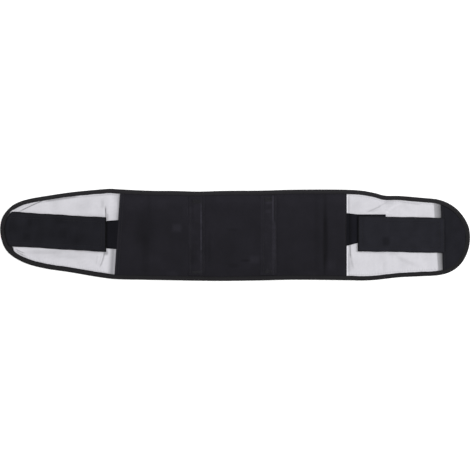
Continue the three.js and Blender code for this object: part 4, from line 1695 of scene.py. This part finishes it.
@dataclass
class EdgeBinding:
    """The tape folded over the whole edge, crowned between its fold and its row of stitches."""

    plan: BeltPlan
    finish: ClothFinish = GROSGRAIN
    stations: int = 1500
    seam_inset: float = 7.2

    def build(self) -> bpy.types.Object:
        """Sweeps the tape's folded section round the outline.

        Returns:
            The binding.
        """
        plan = self.plan
        pick = np.linspace(0, len(plan.outline.points), self.stations, endpoint=False)
        index = pick.astype(int)
        edge, inward = plan.outline.points[index], plan.outline.inward[index]
        x, y = edge[:, 0], edge[:, 1]
        run = pick * plan.outline.length / len(plan.outline.points)
        # The tape's height follows the cloth that it grips: thick at the panel and thin at the wings.
        beyond = np.maximum(plan.left.seam_at(y, plan.height) - x, x - plan.right.seam)
        top = lerp(plan.flange_top - plan.rim_low, plan.wing_top - plan.rim_low, ease(beyond, 2, 18))
        height = 2 * plan.rim_low + top
        wall, width = plan.tape_wall, plan.tape_width
        # The fold stands a little proud of the outline, most at the lower edge and the left tip, and the
        # legs are wider or narrower in places there.
        lower, upper = np.clip(inward[:, 1], 0, 1), np.clip(-inward[:, 1], 0, 1)
        proud = 0.5 + 0.3 * lower + 0.4 * np.clip(inward[:, 0], 0, 1)
        spread = 1 + 0.14 * lower * ease(-x, 260, 290) - 0.24 * Shade(-503, 53, 10, 9, 1.0).weight(x, y)
        spread += 0.5 * Shade(-499, -33, 11, 9, 1.0).weight(x, y)
        base = lerp(-0.4, -0.03, upper)
        wander = 0.25 * Ripple(38, 51).at(x, y) + 0.1 * np.sin(run * math.tau / 9.5)
        pucker = 0.5 + 0.5 * np.sin(run * math.tau / 7.0 + 1.5 * Ripple(40, 52).at(x, y))
        # The outer skin runs from the bottom leg's edge round the fold to the top leg's, and the inner
        # skin runs back.
        outer = (0.0, 0.35, 1.1, 2.2, 3.6, 5.0, 6.2, self.seam_inset, 8.1, width - 0.25, width)
        section = [(inset, self._skin(inset), -1) for inset in outer[::-1]]
        section += [(inset, self._skin(inset), 1) for inset in outer[1:]]
        points, cloth_uv, tone = [], [], []
        across = 0.0
        for k, (inset, skin, face) in enumerate(section):
            free = inset / width
            stand = inset * spread - proud * (1 - free) ** 2 + wander * free * (1 if face > 0 else 0.5)
            dip = np.exp(-(((inset - self.seam_inset) / 1.1) ** 2)) * pucker * 0.28
            lift = 0.0 if face < 0 else 0.12 * pucker * (skin > 0.9)
            z = np.maximum(height / 2 + face * (height / 2 * skin - dip) + lift, 0.0)
            points.append(np.stack([x + inward[:, 0] * stand, y + inward[:, 1] * stand, z], 1))
            across += 0.0 if k == 0 else abs(inset - section[k - 1][0]) + 0.4
            cloth_uv.append(np.stack([run, np.full_like(run, across)], 1))
            tone.append(base + self._shade(inset) + 0.04 * Ripple(30, 53).at(x, y))
        leg = (width - 0.1, 6.0, wall + 0.6)
        inner = [(inset, 1) for inset in leg] + [(wall, 0)] + [(inset, -1) for inset in leg[::-1]]
        for inset, face in inner:
            stand = inset * spread + wander * (inset / width) * (1 if face > 0 else 0.5)
            z = height / 2 + face * (height / 2 - wall)
            points.append(np.stack([x + inward[:, 0] * stand, y + inward[:, 1] * stand, z], 1))
            across += 2.0
            cloth_uv.append(np.stack([run, np.full_like(run, across)], 1))
            # The inner skin is painted darker, as shade inside the fold.
            tone.append(np.full_like(run, -0.2))
        count = len(points)
        grid = np.stack(points, 1)
        number = np.arange(self.stations * count).reshape(self.stations, count)
        after, beside = np.roll(number, -1, 0), np.roll(number, -1, 1)
        both = np.roll(after, -1, 1)
        faces = np.stack([part.ravel() for part in (number, after, both, beside)], 1)
        cloth_flat = np.stack(cloth_uv, 1).reshape(-1, 2)
        tones = np.stack(tone, 1).ravel()
        return make_mesh("edge_binding_tape", grid.reshape(-1, 3), faces, cloth_flat, tones, self.finish)

    def _skin(self, inset: float) -> float:
        """Height of the tape's outer skin, as a share of its half height.

        Args:
            inset: distance in from the belt's edge.

        Returns:
            The share.
        """
        if inset < 1.1:
            return math.sqrt(max(0.0, 1 - (1 - inset / 1.1) ** 2)) * 0.93
        crown = 0.93 + 0.14 * math.sin(min(1.0, (inset - 1.1) / 5.6) * math.pi)
        groove = 0.07 * math.exp(-(((inset - self.seam_inset) / 0.9) ** 2))
        lip = 0.05 * math.exp(-(((inset - 8.4) / 0.5) ** 2)) - 0.1 * max(0.0, inset - 8.7)
        return crown - groove + lip

    def _shade(self, inset: float) -> float:
        """Tone of the tape at an inset: painted light on its crown, painted shade at stitches and edges."""
        crown = 0.12 * math.exp(-(((inset - 3.6) / 1.9) ** 2)) - 0.3 * math.exp(-((inset / 1.8) ** 2))
        return crown - 0.2 * math.exp(-(((inset - self.seam_inset) / 0.8) ** 2)) - 0.25 * (inset > 8.2)

    def seams(self) -> list[Seam]:
        """The one row that closes the tape, right round."""
        loop = self.plan.outline.loop(self.seam_inset)
        return [Seam(np.vstack([loop, loop[:1]]), 3.2)]


@dataclass
class Strap:
    """Ribbed elastic from the panel's side seam to under the tab, drawn in on its way.

    Each band is a distance out from the seam, half its width, and how much lighter it looks.
    """

    plan: BeltPlan
    end: End
    seed: int
    bands: Sequence[tuple[float, float, float]]
    finish: ClothFinish = ELASTIC
    thickness: float = 1.25
    rib_radius: float = 0.42
    rib_pitch: float = 1.75
    columns: int = 60
    rows: int = 60

    def _place(self, out: Array, v: Array) -> tuple[Array, Array]:
        """Plan place of each point of the strap.

        Args:
            out: distances from the seam.
            v: shares of the strap's height, from its lower edge.

        Returns:
            x and y.
        """
        end = self.end
        y = lerp(*end.strap(out), v)
        slant = (1 - np.clip(out / end.strap_free, 0, 1)) * end.slant * y / self.plan.height
        return end.seam + end.way * out + slant, y

    def tone_at(self, out: Array, y: Array) -> Array:
        """Crosswise bands painted lighter and darker, darker long edges, and the paler brushed end above the
        tab.

        Args:
            out: distances from the seam.
            y: places across the belt.

        Returns:
            The tone at each point.
        """
        low, high = self.end.strap(out)
        edge = np.minimum(y - low, high - y)
        tone = 0.05 * Ripple(30, self.seed + 1).at(out, y) - 0.5 * (1 - ease(edge, 0.8, 2.4))
        for place, half, depth in self.bands:
            tone += depth * np.exp(-(((out - place) / half) ** 4))
        free = self.end.strap_free
        return tone + 1.3 * ease(out, free + 0.5, free + 3) * ease(edge, 1.4, 2.8)

    def _top(self, x: Array, y: Array) -> Array:
        """Top of the strap's web, under its ribs."""
        return self.plan.strap_low + self.thickness + 0.05 * Ripple(16, self.seed).at(x, y)

    def build(self) -> bpy.types.Object:
        """Builds the strap's web.

        Returns:
            The strap.
        """
        end = self.end
        out = np.linspace(self.plan.gap, end.strap_free + end.strap_lap, self.columns)[:: end.way, None]
        v = np.linspace(0, 1, self.rows)[None, :]
        x, y = self._place(out, v)
        tone = self.tone_at(out + 0 * y, y)
        low = np.full_like(y, self.plan.strap_low)
        grid = SheetGrid(x, y, low, self._top(x, y), out + 0 * y, y, tone)
        return grid.solid(f"{end.name}_strap_web", self.finish, 0.5)

    def ribs(self, tree: bpy.types.NodeTree) -> bpy.types.Object:
        """Lays the elastic's ribs on the web.

        Args:
            tree: the rib tree.

        Returns:
            The ribs.
        """
        end = self.end
        count = int(end.strap_height[1] / self.rib_pitch)
        lines = []
        for v in (np.arange(count) + 0.5) / count:
            y_mid = float(lerp(*end.strap(np.array(end.strap_free)), v))
            low, high = end.tab(np.array(end.strap_free + 20))
            under_tab = float(low) < y_mid < float(high)
            out = np.linspace(self.plan.gap + 0.3, end.strap_free + (6 if under_tab else 1.5), 16)
            x, y = self._place(out, np.full_like(out, v))
            z = self._top(x, y) - 0.15 + 0.03 * np.sin(out * 2.1 + v * 40)
            lines.append(np.stack([x, y, z], 1) * MM)
        inputs = {"Rib radius": self.rib_radius * MM, "Cover": self.finish.material()}
        cords = grow(f"{end.name}_strap_ribs", lines, tree, inputs)
        places = np.empty(len(cords.data.vertices) * 3, np.float32)
        cords.data.vertices.foreach_get("co", places)
        x, y = places[0::3] / MM, places[1::3] / MM
        tone = self.tone_at((x - end.seam) * end.way, y).astype(np.float32)
        cords.data.attributes.new("tone", "FLOAT", "POINT").data.foreach_set("value", tone)
        return cords


@dataclass
class FasteningTab:
    """The wide brushed tab on a strap: turned edges, a border row, and steps over what it covers."""

    plan: BeltPlan
    end: End
    seed: int
    shades: Sequence[Shade]
    tone: float
    finish: ClothFinish = BRUSHED_LOOP
    thickness: float = 1.8
    ramp: float = 9.0
    border: float = 10.5
    edge_row: float = 2.2
    near_dark: float = 2.2
    patch_lap: float = 5.0
    columns: int = 190
    rows: int = 72

    @property
    def far_end(self) -> float:
        """How far out the tab reaches: to the belt's tip on the left, onto the patch on the right."""
        return self.end.length - (0.0 if self.end.way < 0 else self.plan.patch_length - self.patch_lap)

    def _low(self, out: Array) -> Array:
        """Underside of the tab at each distance out from the seam.

        Args:
            out: distances from the seam.

        Returns:
            Heights.
        """
        plan, end = self.plan, self.end
        strap_end = end.strap_free + end.strap_lap + plan.gap
        over, flat = plan.strap_top + plan.gap, plan.wing_top + plan.gap
        low = lerp(over, flat, np.clip((out - strap_end) / self.ramp, 0, 1))
        if end.way < 0:
            return low
        start = end.length - plan.patch_length - plan.patch_slant / 2 - plan.gap
        return lerp(low, plan.patch_top + plan.gap, np.clip((out - start + self.ramp) / self.ramp, 0, 1))

    def plan_grid(self) -> tuple[Array, Array, Array, Array]:
        """Spreads a grid over the tab, with the left one's far columns bent to the tape.

        Returns:
            x, y, the distance out, and the distance in from the nearest edge.
        """
        plan, end = self.plan, self.end
        out = np.linspace(end.strap_free, self.far_end, self.columns)[:: end.way, None]
        v = np.linspace(0, 1, self.rows)[None, :]
        low, high = end.tab(out)
        # The long sides wander a little, and the left tab's end follows the tape at the belt's tip.
        wave = 0.3 * np.sin(out / 17 + self.seed) + 0.18 * np.sin(out / 6.1 + 2 * self.seed)
        y = lerp(low, high, v) + wave * (2 * v - 1)
        x = end.seam + end.way * out + 0 * y
        if end.way < 0:
            start = end.strap_free + end.strap_lap + plan.gap + self.ramp
            share = np.clip((out - start) / (end.length - start), 0, 1)
            tip = plan.outline.tip(plan.tape_width, y, -1, end.seam - 120) + 0.6
            x = np.where(share > 0, lerp(end.seam - start, tip, share), x)
            far = x - tip
        else:
            far = end.seam + self.far_end - x
        near = (x - end.seam) * end.way - end.strap_free
        inset = np.minimum(np.minimum(y - low, high - y), np.minimum(near, far))
        return x, y, out + 0 * y, inset

    def build(self) -> bpy.types.Object:
        """Builds the tab's mesh.

        Returns:
            The tab.
        """
        end = self.end
        x, y, out, inset = self.plan_grid()
        low = self._low(out)
        # Two sewn rows draw the pile down, and the turned edge outside the border row stands up.
        groove = np.exp(-(((inset - self.border) / 1.1) ** 2))
        edge = np.exp(-(((inset - self.edge_row) / 0.9) ** 2))
        relief = -0.32 * groove - 0.12 * edge + 0.16 * ease(inset, 0, 1.6) * (1 - ease(inset, 7, 9.5))
        soft, fine = Ripple(34, self.seed).at(x, y), Ripple(9, self.seed + 1).at(x, y)
        relief += 0.22 * soft * ease(inset, 8, 18) + 0.07 * fine
        relief += 0.1 * groove * np.sin((x + y) * math.tau / 7)
        # Painted shade in the sewn grooves and along the outer edge, painted light on the raised border.
        tone = self.tone + 0.05 * Ripple(45, self.seed + 2).at(x, y) - 0.12 * groove
        tone += 0.05 * (1 - ease(inset, self.border - 1, self.border + 1)) - 0.1 * edge
        inside = np.exp(-(((inset - self.border - 2.2) / 1.0) ** 2))
        tone += 0.06 * inside - 0.4 * (1 - ease(inset, 0.4, 2.2))
        # The end at the strap is turned under, with painted shade over it.
        near = (x - end.seam) * end.way - end.strap_free
        tone -= 0.45 * (1 - ease(near, self.near_dark - 1.2, self.near_dark + 0.8))
        for shade in self.shades:
            weight = shade.weight(x, y)
            relief += shade.rise * weight
            tone += shade.tone * weight
        high = low + self.thickness + np.maximum(relief, -1.0)
        return SheetGrid(x, y, low, high, x, y, tone).solid(f"{end.name}_tab_pile", self.finish, 0.7, -0.3)

    def seams(self) -> list[Seam]:
        """The edge row and the border row, each carried round the sides of the tab that lie free.

        Returns:
            The rows of stitches.
        """
        end = self.end
        rows = []
        for inset in (self.edge_row, self.border):
            out = np.linspace(end.strap_free + inset, self.far_end - (12 if end.way < 0 else inset), 80)
            low, high = end.tab(out)
            x = end.seam + end.way * out
            near = np.stack([np.full(20, x[0]), np.linspace(low[0] + inset, high[0] - inset, 20)], 1)
            upper = np.stack([x, high - inset], 1)
            lower = np.stack([x, low + inset], 1)
            line = np.vstack([lower[::-1], near[1:-1], upper])
            if end.way > 0:
                far = np.stack([np.full(20, x[-1]), np.linspace(high[-1] - inset, low[-1] + inset, 20)], 1)
                line = np.vstack([line, far[1:]])
            rows.append(Seam(line))
        return rows


@dataclass
class EndPatch:
    """The brushed patch that closes the right wing, from its inner edge to the tape."""

    plan: BeltPlan
    finish: ClothFinish = BRUSHED_LOOP
    low: float = 2.8
    columns: int = 70
    rows: int = 110

    def build(self) -> bpy.types.Object:
        """Builds the patch's mesh.

        Returns:
            The patch.
        """
        plan = self.plan
        inset = plan.tape_width + 0.7
        start = float(plan.patch_edge(np.array(0.0)))
        tip = float(np.max(plan.outline.loop(inset)[:, 0])) - 0.5
        # The columns run from the slanted inner edge to the tip and lie closer together toward the tip.
        share = np.sin(np.linspace(0, 1, self.columns) * math.pi / 2)[:, None]
        flat = start + share * (tip - start)
        low, high = plan.outline.edges(inset, flat)
        y = lerp(low, high, np.linspace(0, 1, self.rows)[None, :])
        x = flat + (1 - share) * (plan.patch_edge(y) - start)
        before = x - plan.patch_edge(y)
        relief = 0.12 * Ripple(26, 71).at(x, y) + 0.06 * Ripple(8, 72).at(x, y)
        groove = np.exp(-(((before - 5.5) / 1.0) ** 2))
        relief += -0.25 * groove + 0.12 * (1 - ease(before, 4, 6))
        # Painted shade in the sewn groove and at the inner edge, and a painted highlight on the raised
        # strip.
        tone = -0.08 + 0.07 * Ripple(40, 73).at(x, y) - 0.3 * groove
        tone = tone + 0.2 * np.exp(-(((before - 3.6) / 0.9) ** 2)) - 0.25 * np.exp(-((before / 1.2) ** 2))
        base = np.full_like(y, self.low)
        top = plan.patch_top - 0.1 + relief
        return SheetGrid(x, y, base, top, x, y, tone).solid("right_end_patch_pile", self.finish, 0.5, -0.2)

    def seams(self) -> list[Seam]:
        """Two upright rows along the inner edge.

        Returns:
            The rows of stitches.
        """
        plan = self.plan
        rows = []
        for before in (2.0, 5.5):
            y = np.linspace(-85, 85, 80)
            x = plan.patch_edge(y) + before
            low, high = plan.outline.edges(plan.tape_width + 2, x)
            inside = (y > low) & (y < high)
            rows.append(Seam(np.stack([x, y], 1)[inside]))
        return rows


@dataclass
class Studio:
    """A white floor, soft lights and a camera straight above the belt."""

    frame_width: float = 1.0415
    distance: float = 6.0

    def build(self) -> None:
        """Sets floor, lights, camera and colour handling."""
        scene = bpy.context.scene
        scene.view_settings.view_transform = "Standard"
        self._floor()
        world = bpy.data.worlds.new("studio")
        scene.world = world
        world.use_nodes = True
        sky = world.node_tree.nodes["Background"]
        sky.inputs["Color"].default_value = (1.0, 1.0, 1.0, 1.0)
        sky.inputs["Strength"].default_value = 0.75
        self._softbox("key_softbox", (5.5, 2.4, 5.6), size=4.5, power=445)
        self._softbox("fill_softbox", (-3.0, -1.8, 4.6), size=3.0, power=50)
        lens = bpy.data.cameras.new("camera")
        lens.sensor_width = 36.0
        lens.lens = lens.sensor_width * self.distance / self.frame_width
        lens.clip_end = 50.0
        camera = bpy.data.objects.new("camera", lens)
        camera.location = (-0.0004, -0.0005, self.distance)
        scene.collection.objects.link(camera)
        scene.camera = camera

    def _floor(self) -> None:
        """Lays the white floor."""
        mesh = bpy.data.meshes.new("floor")
        half = 8.0
        corners = [(-half, -half, 0), (half, -half, 0), (half, half, 0), (-half, half, 0)]
        mesh.from_pydata(corners, [], [(0, 1, 2, 3)])
        paint = bpy.data.materials.new("matt_white_floor")
        paint.use_nodes = True
        shader = paint.node_tree.nodes["Principled BSDF"]
        shader.inputs["Base Color"].default_value = (0.93, 0.93, 0.93, 1.0)
        shader.inputs["Roughness"].default_value = 0.9
        shader.inputs["Specular IOR Level"].default_value = 0.1
        shader.inputs["Emission Color"].default_value = (1.0, 1.0, 1.0, 1.0)
        shader.inputs["Emission Strength"].default_value = 0.3
        mesh.materials.append(paint)
        floor = bpy.data.objects.new("floor", mesh)
        floor.location = (0.0, 0.0, -0.0006)
        bpy.context.scene.collection.objects.link(floor)

    def _softbox(self, name: str, place: tuple[float, float, float], size: float, power: float) -> None:
        """Hangs a square softbox that faces the belt.

        Args:
            name: the light's name.
            place: where it hangs, in metres.
            size: its side, in metres.
            power: its power in watts.
        """
        light = bpy.data.lights.new(name, "AREA")
        light.shape = "SQUARE"
        light.size = size
        light.energy = power
        holder = bpy.data.objects.new(name, light)
        holder.location = place
        holder.rotation_euler = (-Vector(place)).to_track_quat("-Z", "Y").to_euler()
        bpy.context.scene.collection.objects.link(holder)


def fit(piece: bpy.types.Object, slot: str, *nodes: str) -> bpy.types.Object:
    """Rides a piece on the belt and hides the solids that it stands for.

    Args:
        piece: the finished piece.
        slot: not used.
        *nodes: names of the solids that it replaces.

    Returns:
        The same piece.
    """
    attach(piece, "root")
    if nodes:
        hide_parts(*nodes)
    LOG.info("%s: %d faces", piece.name, len(piece.data.polygons))
    return piece


def main() -> None:
    """Builds the belt's pieces in order, sews them, and sets them in the studio."""
    logging.basicConfig(level=logging.INFO, format="%(name)s: %(message)s")
    plan = BeltPlan()
    sewing = SewingTable()
    ribs = RibTree().tree

    panel = BackPanel(plan)
    cover = fit(panel.build(), "panel_fabric", "back_panel")
    casings = (
        StayCasing(
            panel,
            "stay_casing_left",
            share=panel.stay_places[0],
            top_tack=74.0,
            stay_half=10.0,
            sewn_at=(-13.4, 12.2, 16.4),
            ridge=LEFT_RIDGE,
            paler=0.03,
            shades=LEFT_CASING_SHADES,
        ),
        StayCasing(
            panel,
            "stay_casing_right",
            share=panel.stay_places[1],
            top_tack=78.0,
            stay_half=9.0,
            sewn_at=(-10.8, 11.2, 15.6),
            ridge=RIGHT_RIDGE,
            paler=0.12,
            shades=RIGHT_CASING_SHADES,
        ),
    )
    for casing in casings:
        strip = fit(casing.build(), "casing_fabric", casing.name)
        rows = sewing.sew(casing.name + "_stitching", casing.seams(), [strip], DARK_THREAD)
        fit(rows, "casing_fabric")
    fit(sewing.sew("panel_stitching", panel.seams(), [cover], DARK_THREAD), "panel_fabric")

    wings = (
        Wing(plan, plan.left, LEFT_CREASES, LEFT_SHADES, LEFT_EDGE_SHADES, 101),
        Wing(plan, plan.right, RIGHT_CREASES, RIGHT_SHADES, RIGHT_EDGE_SHADES, 131),
    )
    for wing in wings:
        name = wing.end.name
        cloth = fit(wing.build(), "mesh_fabric", f"{name}_wing")
        rows = sewing.sew(f"{name}_wing_stitching", wing.seams(), [cloth], LIGHT_THREAD, radius=0.32)
        fit(rows, "mesh_fabric")

    binding = EdgeBinding(plan)
    tape = fit(binding.build(), "binding_tape", "edge_binding")
    top_row = fit(sewing.sew("binding_stitching", binding.seams(), [tape], DARK_THREAD), "binding_tape")
    low_row = sewing.sew("binding_stitching_under", binding.seams(), [tape], DARK_THREAD, under=True)
    fit(low_row, "binding_tape")

    patch = EndPatch(plan)
    pile = fit(patch.build(), "patch_fabric", "right_end_patch")
    rows = fit(sewing.sew("right_end_patch_stitching", patch.seams(), [pile], DARK_THREAD), "patch_fabric")

    tabs = (
        FasteningTab(plan, plan.left, 201, LEFT_TAB_SHADES, -0.2),
        FasteningTab(plan, plan.right, 231, RIGHT_TAB_SHADES, 0.14),
    )
    for tab in tabs:
        name = tab.end.name
        strap = Strap(plan, tab.end, tab.seed + 50, LEFT_BANDS if name == "left" else RIGHT_BANDS)
        web = fit(strap.build(), "strap_elastic", f"{name}_strap")
        cords = fit(strap.ribs(ribs), "strap_elastic")
        flap = fit(tab.build(), "tab_fabric", f"{name}_tab")
        rows = fit(sewing.sew(f"{name}_tab_stitching", tab.seams(), [flap], DARK_THREAD), "tab_fabric")

    Studio().build()


if __name__ == "__main__":
    main()
